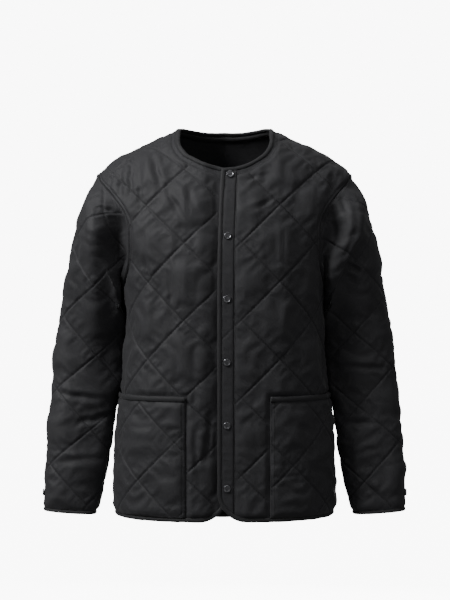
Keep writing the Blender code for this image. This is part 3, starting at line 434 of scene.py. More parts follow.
def body(points, back):
    """Body form at pattern points, with the quarter girth and the rise above the armpit."""
    s, t = points[:, 0], points[:, 1]
    width = smooth(BODY["height"], BODY["half_width"], t)
    depth = smooth(BODY["height"], BODY["back_depth" if back else "front_depth"], t)
    x, y, girth = quarter(width, depth, RING_POWER, np.abs(s))
    rise = smooth(SHOULDER["across"], SHOULDER["height"], x) - ARMPIT
    z, y, crown = quarter(rise, y, CROWN_POWER, np.maximum(t - ARMPIT, 0))
    z = np.where(t > ARMPIT, ARMPIT + z, t)
    place = np.stack([np.sign(s) * x, y if back else -y, z], 1)
    return place, girth, crown


def side_seam(t, back):
    """Across, at the side, for heights t."""
    return body(np.stack([np.zeros_like(t), t], 1), back)[1]


def shoulder_seam(s, back):
    """Pattern height of the shoulder seam at s across."""
    return ARMPIT + body(np.stack([s, np.zeros_like(s)], 1), back)[2]


def across_at(x, back):
    """Across on the pattern, at the shoulder seam, for a distance x from the middle."""
    s = np.array([x])
    for _ in range(30):
        s = s + x - body(np.stack([s, s * 0], 1), back)[0][:, 0]
    return s[0]


def normals(form, points, step=0.7 * MM):
    """Unit normals of a form, on the side of across x up."""
    right, up = np.array([step, 0]), np.array([0, step])
    cross = np.cross(form(points + right) - form(points - right),
                     form(points + up) - form(points - up))
    return cross / np.linalg.norm(cross, axis=1)[:, None]


def fold_depth(points, name):
    """Troughs of a piece's folds, with the soft ridges beside them."""
    total = np.zeros(len(points))
    for piece, across, up, angle, half_length, half_width, depth, bow in FOLDS:
        if piece != name:
            continue
        turn = math.radians(angle)
        offset = points - np.array([across, up]) * MM
        lengthways = offset @ np.array([math.cos(turn), math.sin(turn)]) / (half_length * MM)
        sideways = offset @ np.array([-math.sin(turn), math.cos(turn)]) / (half_width * MM)
        wander = 0.4 * uneven(lengthways * 1.7 + across, sideways * 0.2 + up, 3)
        sideways = sideways + bow * lengthways ** 2 + wander
        trough = np.exp(-sideways ** 2)
        ridges = 0.5 * np.exp(-(sideways - 1.8) ** 2) + 0.35 * np.exp(-(sideways + 1.8) ** 2)
        section = depth * trough - min(depth, FOLD_RIDGE) * ridges
        total += MM * np.exp(-np.abs(lengthways) ** 2.2) * section
    return total


def lean(points):
    """The closure leans towards the wearer's left as it nears the neck."""
    rise = np.clip((points[:, 1] - LEAN_FOOT) / (LEAN_TOP - LEAN_FOOT), 0, 1.3) ** 2
    near = 1 - ease(np.abs(points[:, 0]) / (90 * MM))
    return points + np.stack([LEAN * rise * near, np.zeros(len(points))], 1)


# ---------------------------------------------------------------- outlines
def armhole(back, fractions):
    """Pattern points down the armhole of the wearer's left, shoulder tip to armpit."""
    rows = BACK_ARMHOLE if back else FRONT_ARMHOLE
    index = np.arange(len(rows["height"]), dtype=float)
    at = np.linspace(0, len(index) - 1, 200)
    t = smooth(index, rows["height"], at)
    s = side_seam(t, back) - np.maximum(smooth(index, rows["inset"], at), 0)
    tip = across_at(SHOULDER_TIP, back)
    top = shoulder_seam(np.array([tip]), back)[0]
    blend = np.clip(1 - at, 0, 1)
    points = np.stack([s + (tip - s[0]) * blend, t + (top - t[0]) * blend], 1)
    return even_points(points, fractions)


def neckline(back, count):
    """Cut line of the neck from the shoulder seam to the middle, at +across."""
    rows = BACK_NECK if back else FRONT_NECK
    index = np.arange(len(rows["across"]), dtype=float)
    at = np.linspace(len(index) - 1, 0, 120)
    points = np.stack([smooth(index, rows[name], at) for name in ("across", "height")], 1)
    points[:, 1] = np.minimum(points[:, 1], shoulder_seam(points[:, 0], back))
    points[0, 1] = shoulder_seam(points[:1, 0], back)[0]
    return even_points(points, np.linspace(0, 1, count))


def hem_height(s, back):
    """Cut line of the hem: level at the front, dropping towards the middle of the back."""
    level = np.full_like(s, HEM + BINDING)
    if back:
        level -= BACK_DROP * ease(1 - np.abs(s) / side_seam(np.array([HEM]), back)[0])
    return level


def side_and_armhole(back):
    """Up the side from the hem, round the armhole, and along the shoulder to the neck."""
    t = np.linspace(HEM + BINDING, ARMPIT, 60)
    side = np.stack([side_seam(t, back), t], 1)
    hole = armhole(back, np.linspace(1, 0, 120))
    x = np.linspace(hole[-1, 0], NECK_SIDE, 60)
    seam = np.stack([x, shoulder_seam(x, back)], 1)
    return side, hole, seam


def front_edge(edge):
    """Cut line of the left front: along the neck, down the edge, round its corner, and
    along the hem to the side."""
    whole = neckline(False, 120)
    top = np.array([[edge, np.interp(edge, *whole[::-1].T)]])
    neck = np.concatenate([whole[whole[:, 0] > edge + 0.1 * MM], top])
    turn = np.radians(np.linspace(180, 270, 31))
    centre = np.array([edge + CORNER, HEM + BINDING + CORNER])
    corner = centre + CORNER * np.stack([np.cos(turn), np.sin(turn)], 1)
    end = side_seam(np.array([HEM + BINDING]), False)[0]
    hem = np.array([corner[-1], [end, HEM + BINDING]])
    return neck, np.stack([top[0], corner[0]]), corner, hem


def joined(runs):
    """One closed outline from runs that follow each other, evenly pointed."""
    return np.concatenate([spaced(run, EDGE_PITCH)[:-1] for run in runs])


def between(line, low, high):
    """The part of a row of points, which go across, from low to high across."""
    ends = np.array([low, high])
    rows = line if line[0, 0] < line[-1, 0] else line[::-1]
    heights = np.interp(ends, rows[:, 0], rows[:, 1])
    middle = rows[(rows[:, 0] > low + 0.1 * MM) & (rows[:, 0] < high - 0.1 * MM)]
    part = np.concatenate([[[low, heights[0]]], middle, [[high, heights[1]]]])
    return part if line[0, 0] < line[-1, 0] else part[::-1]


# ---------------------------------------------------------------- mesh making
def make_piece(name, verts, faces, material, replaced=()):
    """A piece of the jacket from numpy points and faces, riding on the body."""
    mesh = bpy.data.meshes.new(name)
    mesh.from_pydata(verts.tolist(), [], faces.tolist())
    mesh.materials.append(material)
    mesh.shade_smooth()
    piece = bpy.data.objects.new(name, mesh)
    bpy.context.scene.collection.objects.link(piece)
    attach(piece, "root")
    if replaced:
        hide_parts(*replaced)
    return piece


def wall(inner, outer, faces):
    """Points and faces of a closed wall between two skins that match, point by point."""
    count = len(inner)
    edges = faces[:, [0, 1, 1, 2, 2, 0]].reshape(-1, 2)
    forward = edges[:, 0] * count + edges[:, 1]
    backward = edges[:, 1] * count + edges[:, 0]
    a, b = edges[~np.isin(forward, backward)].T
    rim = np.concatenate([np.stack([b + count, a + count, a], 1),
                          np.stack([b + count, a, b], 1)])
    every = np.concatenate([faces + count, faces[:, ::-1], rim])
    return np.concatenate([inner, outer]), every


def lattice(outline, quilt, cell=None, lines=(), cells=CELLS):
    """Triangles over an outline whose points fall on its quilting lines."""
    quilted = cell is None
    if quilted:
        cell = np.array([QUILT_WIDTH, QUILT_HEIGHT]) / cells
    origin = np.array(quilt) * MM
    low = np.floor((outline.min(0) - origin) / cell).astype(int)
    high = np.ceil((outline.max(0) - origin) / cell).astype(int)
    grid = np.stack(np.meshgrid(np.arange(low[0], high[0] + 1),
                                np.arange(low[1], high[1] + 1)), 2).reshape(-1, 2)
    if quilted:
        ways = np.stack([grid[:, 0] + grid[:, 1], grid[:, 0] - grid[:, 1]], 1) / cells
        ways -= GATHER * np.sin(math.pi * ways)
        grid = np.stack([ways[:, 0] + ways[:, 1], ways[:, 0] - ways[:, 1]], 1) / 2 * cells
    points = origin + grid * cell
    kept = inside(points, outline)
    kept[kept] = edge_distance(points[kept], outline, True) > 0.5 * cell[0]
    for line in lines:
        kept[kept] = edge_distance(points[kept], line) > 0.45 * cell[0]
    coords = np.concatenate([outline, points[kept], *lines])
    found = delaunay_2d_cdt([Vector(p) for p in coords], [],
                            [list(range(len(outline)))], 1, 1e-7)
    return np.array([tuple(p) for p in found[0]]), np.array(found[2])


def line_gaps(points, quilt):
    """Distances from the quilting lines of each way, 0 on a line to 1 midway."""
    u, v = ((points - np.array(quilt) * MM) / [QUILT_WIDTH, QUILT_HEIGHT]).T
    return np.abs(np.stack([u - v, u + v]) % 2 - 1) * -1 + 1


def quilting(points, quilt, seed):
    """Loft at pattern points, 0 on a line to 1 in a diamond, and the puckers and the
    stitched groove beside it."""
    u, v = ((points - np.array(quilt) * MM) / [QUILT_WIDTH, QUILT_HEIGHT]).T
    gaps = line_gaps(points, quilt)
    pucker = np.zeros(len(points))
    for side, gap in zip((-1, 1), gaps):
        off = u + side * v
        away = gap * LINE_SPACING / 2 / PUCKER_REACH
        run = (u - side * v) * LINE_SPACING / 2 / PUCKER_PITCH
        waves = uneven(run, off * 1.3, seed) + 0.6 * uneven(run * 1.9, off * 2.1, seed + 5)
        pucker += away * np.exp(1 - away) * waves * PUCKER_DEPTH
        pucker -= STITCH_DIP * np.exp(-(gap * LINE_SPACING / 2 / STITCH_DIP_WIDTH) ** 2)
    loft = np.sin(gaps[0] * math.pi / 2) * np.sin(gaps[1] * math.pi / 2)
    return loft ** LOFT_POWER, pucker


def creases(sideways, lengthways, seed):
    """Long sharp creases in patches, from 0 to -1."""
    swell = uneven(sideways / CREASE_WIDTH, lengthways / CREASE_LENGTH, seed)
    chance = uneven(sideways / CREASE_PATCH, lengthways / CREASE_PATCH, seed + 1)
    return -ease(0.55 + 1.4 * chance) * (1 - np.abs(swell)) ** 3


def wrinkles(points, kind, seed):
    """Heights of the shell's wrinkles and creases, and how they sway, from -1 to 1."""
    way, reach, sways, height, swells = WRINKLES[kind]
    sway = uneven(*(points / (np.array(sways) * MM)).T, seed + 1)
    moved = points.copy()
    moved[:, way] += reach * MM * sway
    small = height * MM * uneven(*(moved / (np.array(swells) * MM)).T, seed + 2)
    return small + CREASE * creases(moved[:, way], points[:, 1 - way], seed + 3), sway


def middle_fold(points, quilt, sway):
    """A soft upright ridge down the middle of each diamond, from 0 to 1."""
    u, v = ((points - np.array(quilt) * MM) / [QUILT_WIDTH, QUILT_HEIGHT]).T
    middle = (np.floor((u + v) / 2) + np.floor((u - v) / 2)) + 1
    return np.exp(-np.abs(u - middle + sway) * QUILT_WIDTH / MIDDLE_WIDTH)


# ---------------------------------------------------------------- cloth pieces
def mitred(points, out, line, shared):
    """Outward directions that turn to the shared ones of a seam as they near it."""
    near = np.flatnonzero(edge_distance(points, line) < MITRE_REACH)
    away = ((points[near][:, None] - line) ** 2).sum(2)
    weight = ease(1 - np.sqrt(away.min(1, initial=1)) / MITRE_REACH)[:, None]
    turned = out.copy()
    turned[near] = out[near] * (1 - weight) + shared[away.argmin(1)] * weight
    return turned


def seam_height(points, rows, holes):
    """The padded band along armholes, and the grooves of topstitching beside rows."""
    height = np.zeros(len(points))
    for hole in holes:
        away = edge_distance(points, hole)
        height += SEAM_RISE * ease(1 - away / SEAM_FADE) - GROOVE * np.exp(-(away / MM) ** 2)
    for row in rows:
        away = edge_distance(points, row) - TOPSTITCH
        deep = GROOVE if any(row is hole for hole in holes) else GROOVE / 2
        height -= deep * np.exp(-(away / GROOVE_WIDTH) ** 2)
    return height


def groove_lines(rows, outline):
    """Extra mesh lines where topstitching beside rows pulls in the cloth."""
    lines = []
    for row in rows:
        line = spaced(row, EDGE_PITCH)
        for offset in (-1.1, 0, 1.1):
            moved = line + beside(line, -1) * (TOPSTITCH + offset * GROOVE_WIDTH)
            moved = moved[inside(moved, outline)]
            lines.append(moved[edge_distance(moved, outline, True) > MM])
    return lines


def spread(field):
    """A grid of heights, each replaced by the mean of its neighbourhood."""
    window = np.ones(2 * SLACK_REACH + 1) / (2 * SLACK_REACH + 1)
    for axis in (0, 1):
        field = np.apply_along_axis(np.convolve, axis, field, window, "same")
    return field


class Slack:
    """How far a quilted shell buckles, on a grid of its flat pattern."""

    def __init__(self, cloth):
        """cloth gives its outline, quilt, quilted(points) height and free(points), which
        is 0 where the shell is sewn or pressed flat."""
        self.quilt = cloth.quilt
        self.cell = np.array([QUILT_WIDTH, QUILT_HEIGHT]) / SLACK_CELLS
        origin = np.array(cloth.quilt) * MM
        low = np.floor((cloth.outline.min(0) - origin) / self.cell) - 1
        high = np.ceil((cloth.outline.max(0) - origin) / self.cell) + 1
        self.origin = origin + low * self.cell
        columns, rows = (high - low + 1).astype(int)
        self.rise = np.zeros((rows, columns))
        grid = np.stack(np.meshgrid(np.arange(columns), np.arange(rows)), 2).reshape(-1, 2)
        points = self.origin + grid * self.cell
        kept = inside(points, cloth.outline)
        index = np.full(len(points), -1)
        index[kept] = np.arange(kept.sum())
        index = index.reshape(rows, columns)
        quads = np.stack([index[:-1, :-1], index[:-1, 1:], index[1:, 1:], index[1:, :-1]], 2)
        quads = quads.reshape(-1, 4)
        quads = quads[(quads >= 0).all(1)]
        points = points[kept]
        height, free = cloth.quilted(points), cloth.free(points)
        inner = np.bincount(quads.ravel(), minlength=len(points)) == 4
        sewn = line_gaps(points, cloth.quilt).min(0) < SLACK_SEWN
        held = ~inner | sewn | (free < SLACK_HELD)
        moved = self.simulate(cloth.name, points, height, quads, held) - height
        self.rise[grid[kept, 1], grid[kept, 0]] = moved * ease(free / 0.5)
        self.rise -= spread(spread(self.rise))
        self.rise = SLACK_MOST * np.tanh(self.rise * SLACK_GAIN / SLACK_MOST)

    def simulate(self, name, points, height, quads, held):
        """Heights of the shell after it has settled."""
        scene = bpy.context.scene
        mesh = bpy.data.meshes.new(name + "_slack")
        start = np.stack([points[:, 0], -height, points[:, 1]], 1)
        mesh.from_pydata(start.tolist(), [], quads.tolist())
        shell = bpy.data.objects.new(name + "_slack", mesh)
        scene.collection.objects.link(shell)
        shell.vertex_groups.new(name="held").add(np.flatnonzero(held).tolist(), 1.0, "REPLACE")
        modifier = shell.modifiers.new("slack", "CLOTH")
        modifier.point_cache.frame_end = SLACK_FRAMES
        cloth = modifier.settings
        cloth.quality = 5
        cloth.mass = SLACK_MASS
        cloth.tension_stiffness = cloth.compression_stiffness = SLACK_STIFFNESS
        cloth.shear_stiffness = SLACK_STIFFNESS / 3
        cloth.bending_stiffness = SLACK_BENDING
        cloth.vertex_group_mass = "held"
        cloth.shrink_min = -SLACK_GROWTH
        cloth.effector_weights.gravity = 0
        for step in range(1, SLACK_FRAMES + 1):
            scene.frame_set(step)
        settled = shell.evaluated_get(bpy.context.evaluated_depsgraph_get()).data
        places = np.empty(len(points) * 3, np.float32)
        settled.vertices.foreach_get("co", places)
        bpy.data.objects.remove(shell)
        bpy.data.meshes.remove(mesh)
        scene.frame_set(1)
        return -places.reshape(-1, 3)[:, 1].astype(float)

    def at(self, points):
        """Height that the buckling adds at pattern points, smoothly between the cells."""
        spot = (points - self.origin) / self.cell
        corner = np.floor(spot).astype(int)
        part = spot - corner
        weights = np.stack([(1 - part) ** 3, 3 * part ** 3 - 6 * part ** 2 + 4,
                            -3 * part ** 3 + 3 * part ** 2 + 3 * part + 1, part ** 3]) / 6
        total = np.zeros(len(points))
        for j in range(4):
            row = np.clip(corner[:, 1] + j - 1, 0, self.rise.shape[0] - 1)
            for i in range(4):
                column = np.clip(corner[:, 0] + i - 1, 0, self.rise.shape[1] - 1)
                total += self.rise[row, column] * weights[i, :, 0] * weights[j, :, 1]
        away = line_gaps(points, self.quilt).min(0) * LINE_SPACING / 2
        return total * ease(away / SLACK_FADE)


class Quilted:
    """Quilted cloth with a form(points), quilted(points) heights and a slack."""

    def thickness(self, points):
        """Height of the outer face above the inner one."""
        return self.quilted(points) + self.slack.at(points)

    def surface(self, points):
        """Outer face and its outward normals."""
        place, out = self.form(points)
        return place + out * self.thickness(points)[:, None], out


class Panel(Quilted):
    """A quilted body piece: its outline, its side of the form and its sewing.

    plain and topstitched are the runs of its outline without and with a flat band."""

    def __init__(self, name, outline, back, plain, topstitched, holes, seed):
        self.name, self.outline, self.back, self.seed = name, outline, back, seed
        self.plain, self.topstitched, self.holes = plain, topstitched, holes
        self.quilt = QUILTS[name]
        self.outward = -1 if back else 1
        half = neckline(back, 60)
        self.neck = np.concatenate([half, mirrored(half)[1:]])
        self.mitres = []
        self.slack = Slack(self)

    def base(self, points):
        """Form below any folds; the right front sinks where the left one laps it."""
        place = body(points if self.back else lean(points), self.back)[0]
        away = edge_distance(points, self.neck)
        place[:, 2] += NECK_STAND * ease(1 - away / NECK_FADE)
        if self.name == "right_front":
            place[:, 1] += LAP_DROP * ease((points[:, 0] + LAP_FADE) / (LAP_RUN * LAP_FADE))
        return place

    def form(self, points):
        """Inner face of the cloth and its outward directions."""
        place = self.base(points)
        out = normals(self.base, points) * self.outward
        fade = ease(edge_distance(points, self.outline, True) / FOLD_FADE)
        place -= out * (fold_depth(points, self.name) * fade)[:, None]
        for line, shared in self.mitres:
            out = mitred(points, out, line, shared)
        return place, out

    def pressed(self, points):
        """How much loft the piece keeps: less below an arm, a lap or a pocket."""
        s, t = points[:, 0], points[:, 1]
        side = side_seam(np.minimum(t, ARMPIT), self.back) - np.abs(s)
        arm = ease((ARM_TOP - t) / ARM_TOP_FADE) * (1 - ease((ARM_FOOT - t) / ARM_FOOT_FADE))
        keep = 1 - ARM_PRESS * arm * (1 - ease(side / ARM_SIDE))
        if self.name == "right_front":
            keep *= 1 - LAP_PRESS * ease((s + LAP_PRESSED) / LAP_PRESS_FADE)
        keep *= rising(SHOULDER_LOFT, (shoulder_seam(s, self.back) - t) / SHOULDER_FADE)
        if self.name == "left_front":
            keep *= rising(PLACKET_LOFT, (s - PLACKET_SEAM) / PLACKET_FADE)
        for which, edge in POCKETS.items():
            if self.name == which + "_front":
                covered = ease((np.abs(s) - abs(edge) + POCKET_COVER) / POCKET_FADE)
                keep *= 1 - covered * ease((POCKET_TOP + POCKET_FADE - t) / POCKET_FADE)
        return keep

    def bands(self, points):
        """0 on sewn edges, rising to 1 where the loft is free of them."""
        flat = np.ones(len(points))
        for line in self.plain:
            flat *= ease(edge_distance(points, line) / PLAIN_BAND) ** BAND_POWER
        for line in self.topstitched:
            away = edge_distance(points, line) - SEWN_BAND
            flat *= ease(away / PLAIN_BAND) ** BAND_POWER
        return flat

    def free(self, points):
        """How much of its loft the shell keeps, with its sewn edges."""
        return self.bands(points) * self.pressed(points)

    def quilted(self, points):
        """Height of the outer face above the inner one, before it buckles."""
        loft, pucker = quilting(points, self.quilt, self.seed)
        soft, sway = wrinkles(points, "body", self.seed)
        soft += MIDDLE_FOLD * middle_fold(points, self.quilt, MIDDLE_SWAY * sway)
        lifted = LOFT * loft + soft * loft + pucker
        return CLOTH + self.free(points) * lifted \
            + seam_height(points, self.topstitched, self.holes)


class Sleeve(Quilted):
    """A tube of rings from the armhole to the cuff, with its own flat pattern.

    turn goes once round from the outer line over the front; row counts the rings down.
    On the pattern, across is the girth from the outer line at one level and up is the
    height along the tube above the cuff."""

    COLUMNS = 288
    LEVEL = 4 * MM
    MEAN_GIRTH = 400 * MM
    SEAM_POINTS = 240

    def __init__(self, name, side, seed):
        self.name, self.side, self.seed = name, side, seed
        self.quilt = QUILTS[name]
        half = self.COLUMNS // 2
        self.turns = np.linspace(0, 1, self.COLUMNS + 1)
        shares = self.turns[:half + 1] * 2
        front = even_points(body(armhole(False, np.linspace(0, 1, 300)), False)[0], shares)
        back = even_points(body(armhole(True, np.linspace(0, 1, 300)), True)[0], shares)
        rings = [np.concatenate([front, back[::-1][1:]])]
        rings += [self.ring(*row) for row in zip(*SLEEVE.values())]
        self.rings = np.array(rings)
        steps = np.linalg.norm(np.diff(self.rings, axis=0), axis=2)
        self.length = np.concatenate([np.cumsum(steps[::-1], 0)[::-1], 0 * steps[:1]])
        levels = np.arange(0, self.length.max() + self.LEVEL, self.LEVEL)
        rows = np.arange(len(rings), dtype=float)
        at_level = np.stack([np.interp(-levels, -self.length[:, k], rows)
                             for k in range(self.COLUMNS + 1)], 1)
        places = self.at(np.tile(self.turns, len(levels)), at_level.ravel())
        places = places.reshape(len(levels), -1, 3)
        around = np.linalg.norm(np.diff(places, axis=1), axis=2).cumsum(1)
        around = np.concatenate([np.zeros((len(levels), 1)), around], 1)
        self.front_arc = around[:, :half + 1]
        self.back_arc = (around[:, -1:] - around[:, half:])[:, ::-1]
        turns = np.linspace(0.5, -0.5, self.SEAM_POINTS)
        self.cap, self.shared = self.pattern(turns, 0), np.zeros((self.SEAM_POINTS, 3))
        for chosen, back in ((turns >= 0, False), (turns <= 0, True)):
            self.shared[chosen] = self.shared_directions(turns[chosen], back)
        cap = self.cap - np.stack([turns * 0, CAP_EASE * (1 + 10 * np.abs(turns))], 1)
        levels = np.linspace(cap[0, 1], BINDING, 130)
        self.cuff = np.stack([self.seam(-1, levels[-1:])[0], self.seam(1, levels[-1:])[0]])
        self.outline = joined([cap, self.seam(-1, levels), self.cuff,
                               self.seam(1, levels[::-1])])
        self.slack = Slack(self)

    def ring(self, outer_x, outer_z, inner_x, inner_z, half_depth, centre_y):
        """One section, evenly round from its outer point over the front."""
        turn = np.linspace(0, math.pi, 361)
        chord = np.sign(np.cos(turn)) * np.abs(np.cos(turn)) ** (2 / SLEEVE_POWER)
        bulge = np.sin(turn).clip(0) ** (2 / SLEEVE_POWER)
        middle = np.array([outer_x + inner_x, 2 * centre_y, outer_z + inner_z]) / 2
        reach = np.array([outer_x - inner_x, 0, outer_z - inner_z]) / 2
        front = middle + chord[:, None] * reach - bulge[:, None] * np.array([0, half_depth, 0])
        front = even_points(front, self.turns[:self.COLUMNS // 2 + 1] * 2)
        rear = front[::-1][1:] * [1, -1, 1] + np.array([0, 2 * centre_y, 0])
        return np.concatenate([front, rear])

    def column(self, turn):
        """Nearest lower column of a turn, and how far on from it."""
        spot = (turn % 1) * self.COLUMNS
        k = np.clip(spot.astype(int), 0, self.COLUMNS - 1)
        return k, spot - k

    def at(self, turn, row):
        """Points of the tube, for the wearer's left."""
        last = len(self.rings) - 1
        row = np.clip(row, 0, last)
        i = np.clip(row.astype(int), 0, last - 1)
        u = (row - i)[:, None]
        k, v = self.column(turn)

        def pick(j):
            j = np.clip(j, 0, last)
            return self.rings[j, k] * (1 - v)[:, None] + self.rings[j, k + 1] * v[:, None]
        before, a, b, after = pick(i - 1), pick(i), pick(i + 1), pick(i + 2)
        return 0.5 * (2 * a + (b - before) * u + (2 * before - 5 * a + 4 * b - after) * u ** 2
                      + (3 * a - before - 3 * b + after) * u ** 3)

    def arcs(self, level, back):
        """Girth from the outer line to each column of one half, at levels."""
        girths = self.back_arc if back else self.front_arc
        spot = np.clip(level / self.LEVEL, 0, len(girths) - 1.001)
        j = spot.astype(int)
        return girths[j] * (1 - spot + j)[:, None] + girths[j + 1] * (spot - j)[:, None]

    def locate(self, points):
        """Turn and row of pattern points."""
        turn = np.zeros(len(points))
        for back in (False, True):
            for chosen in np.array_split(np.flatnonzero((points[:, 0] < 0) == back), 8):
                arcs = self.arcs(points[chosen, 1], back)
                reach = np.abs(points[chosen, 0])
                k = np.clip((arcs < reach[:, None]).sum(1), 1, arcs.shape[1] - 1)
                n = np.arange(len(chosen))
                low, high = arcs[n, k - 1], arcs[n, k]
                part = np.clip((reach - low) / np.maximum(high - low, 1e-9), 0, 1)
                turn[chosen] = (k - 1 + part) / self.COLUMNS * (-1 if back else 1)
        k, v = self.column(turn)
        lengths = self.length[:, k] * (1 - v) + self.length[:, k + 1] * v
        i = np.clip((lengths > points[:, 1]).sum(0) - 1, 0, len(lengths) - 2)
        n = np.arange(len(points))
        low, high = lengths[i, n], lengths[i + 1, n]
        return turn, i + np.clip((low - points[:, 1]) / (low - high), 0, 1)

    def pattern(self, turn, row):
        """Pattern points of turns, from -0.5 to 0.5, on one row."""
        k, v = self.column(turn)
        level = self.length[row, k] * (1 - v) + self.length[row, k + 1] * v
        spot = np.abs(turn) * self.COLUMNS
        places = np.arange(self.COLUMNS // 2 + 1)
        c = [np.interp(x, places, self.arcs(np.array([y]), z < 0)[0]) * np.sign(z)
             for x, y, z in zip(spot, level, turn)]
        return np.stack([np.array(c), level], 1)

    def seam(self, side, levels):
        """Pattern points of the underarm seam on its front or back edge."""
        arcs = self.arcs(levels, side < 0)[:, -1]
        return np.stack([arcs * side, levels], 1)

    def out(self, turn, row):
        """Outward normals at turn and row."""
        low, high = np.maximum(row - 0.05, 0), np.minimum(row + 0.05, len(self.rings) - 1)
        around = self.at(turn + 0.004, row) - self.at(turn - 0.004, row)
        cross = np.cross(around, self.at(turn, high) - self.at(turn, low))
        cross /= np.linalg.norm(cross, axis=1)[:, None]
        return cross * np.array([self.side, 1, 1])

    def shared_directions(self, turns, back):
        """Outward directions that the armhole seam gives body and sleeve alike."""
        hole = armhole(back, np.abs(turns) * 2)
        flat = normals(lambda p: body(p, back)[0], hole) * (-1 if back else 1)
        both = flat * np.array([self.side, 1, 1]) + self.out(turns, np.zeros(len(turns)))
        size = np.linalg.norm(both, axis=1)
        return both / size[:, None] / np.maximum(size / 2, 0.42)[:, None]

    def form(self, points):
        """Inner face with its folds, and outward directions."""
        turn, row = self.locate(points)
        place = self.at(turn, row) * np.array([self.side, 1, 1])
        out = self.out(turn, row)
        fade = ease(row / CAP_FADE) * ease(points[:, 1] / CUFF_FADE)
        sunk = out * np.array([FOLD_ASIDE, 1, 1])
        sunk /= np.linalg.norm(sunk, axis=1)[:, None]
        place -= sunk * (fold_depth(points, self.name) * fade)[:, None]
        return place, mitred(points, out, self.cap, self.shared)

    def free(self, points):
        """How much of its loft the shell keeps: less below the arm and where it is sewn."""
        turn = self.locate(points)[0]
        level = points[:, 1]
        inner = ease(1 - (0.5 - np.abs(turn)) / ARM_TURN)
        keep = 1 - ARM_PRESS * inner * ease((level - ARM_CUFF) / ARM_CUFF_FADE)
        keep *= rising(CAP_LOFT, (CAP_LOFT_TOP - level) / CAP_LOFT_FADE)
        away = np.linalg.norm(points - self.snap(), axis=1)
        keep *= ease(away / SNAP_CLEAR - SNAP_FLAT)
        edge = np.minimum(edge_distance(points, self.cap),
                          (0.5 - np.abs(turn)) * self.MEAN_GIRTH)
        return keep * ease(edge / PLAIN_BAND) ** BAND_POWER \
            * ease((level - BINDING - QUILT_END) / PLAIN_BAND) ** BAND_POWER

    def quilted(self, points):
        """Height of the outer face above the inner one, before it buckles."""
        loft, pucker = quilting(points, self.quilt, self.seed)
        soft = wrinkles(points, "sleeve", self.seed)[0]
        lifted = LOFT * loft + soft * loft + pucker
        return CLOTH + self.free(points) * lifted + seam_height(points, [], [self.cap])

    def snap(self):
        """Pattern place of the cuff's snap."""
        girth = self.front_arc[0, -1] * 2
        return np.array([CUFF_SNAP_TURN * girth, CUFF_SNAP_UP])


# ---------------------------------------------------------------- strips and sewing
def sweep(form, line, side, loop, closed=False, ripple=0.0):
    """Points and faces of a strip whose section is a loop of (across, height), in mm.

    across is square to the line, on its right for side 1."""
    off = beside(line, side)
    if closed:
        off[:] = off[len(off) // 2]
    loop = np.array(loop) * MM
    run = along(line)
    wave = 1 + ripple * uneven(run / RIPPLE_PITCH, run * 0, 9)
    stations = line[:, None] + off[:, None] * (loop[:, 0] * wave[:, None])[:, :, None]
    place, out = form(stations.reshape(-1, 2))
    verts = place + out * (loop[:, 1] * wave[:, None]).reshape(-1, 1)
    rows, size = len(line), len(loop)
    count = rows if closed else rows - 1
    i, k = np.meshgrid(np.arange(count), np.arange(size), indexing="ij")
    j, n = (i + 1) % rows, (k + 1) % size
    quads = np.stack([i * size + k, j * size + k, j * size + n, i * size + n], 2)
    quads = quads.reshape(-1, 4)
    faces = np.concatenate([quads[:, :3], quads[:, [0, 2, 3]]])
    if not closed:
        fan = np.arange(1, size - 1)
        start = np.stack([fan * 0, fan, fan + 1], 1)
        faces = np.concatenate([faces, start, start[:, ::-1] + (rows - 1) * size])
    return verts, faces


def folded_tape(path, half):
    """Closed section of a tape that follows a path of (across, height)."""
    path = np.array(path, float)
    run = np.gradient(path, axis=0)
    run /= np.linalg.norm(run, axis=1)[:, None]
    square = np.stack([-run[:, 1], run[:, 0]], 1) * half
    return np.concatenate([path + square, (path - square)[::-1]])


def outward_faces(verts, faces):
    """The faces, turned so that the closed mesh has its outside outside."""
    a, b, c = verts[faces[:, 0]], verts[faces[:, 1]], verts[faces[:, 2]]
    volume = (a * np.cross(b, c)).sum()
    return faces if volume > 0 else faces[:, ::-1]


def stitches(cloth, mids, runs):
    """Points and faces of stitches at pattern points, along pattern directions."""
    reach = 0.8 * MM
    ahead, out = cloth.surface(mids + runs * reach)
    behind = cloth.surface(mids - runs * reach)[0]
    middle, way = (ahead + behind) / 2, ahead - behind
    way /= np.linalg.norm(way, axis=1)[:, None]
    across = np.cross(out, way)
    section = np.array([(-0.5, -0.1), (0.5, -0.1), (0, 0.75)]) * THREAD
    verts = []
    for lengthways, height, size in ((-0.5, -0.3, 0.6), (0, 0.35, 1), (0.5, -0.3, 0.6)):
        for wide, rise in section * size:
            verts.append(middle + way * (lengthways * STITCH_LENGTH) + across * wide
                         + out * (rise + height * THREAD))
    verts = np.stack(verts, 1).reshape(-1, 3)
    quads = [(0, 1, 4, 3), (1, 2, 5, 4), (2, 0, 3, 5), (3, 4, 7, 6), (4, 5, 8, 7),
             (5, 3, 6, 8)]
    one = [q[:3] for q in quads] + [(q[0], q[2], q[3]) for q in quads]
    one += [(2, 1, 0), (6, 7, 8)]
    faces = np.arange(len(mids))[:, None, None] * 9 + np.array(one)[None]
    return verts, faces.reshape(-1, 3)


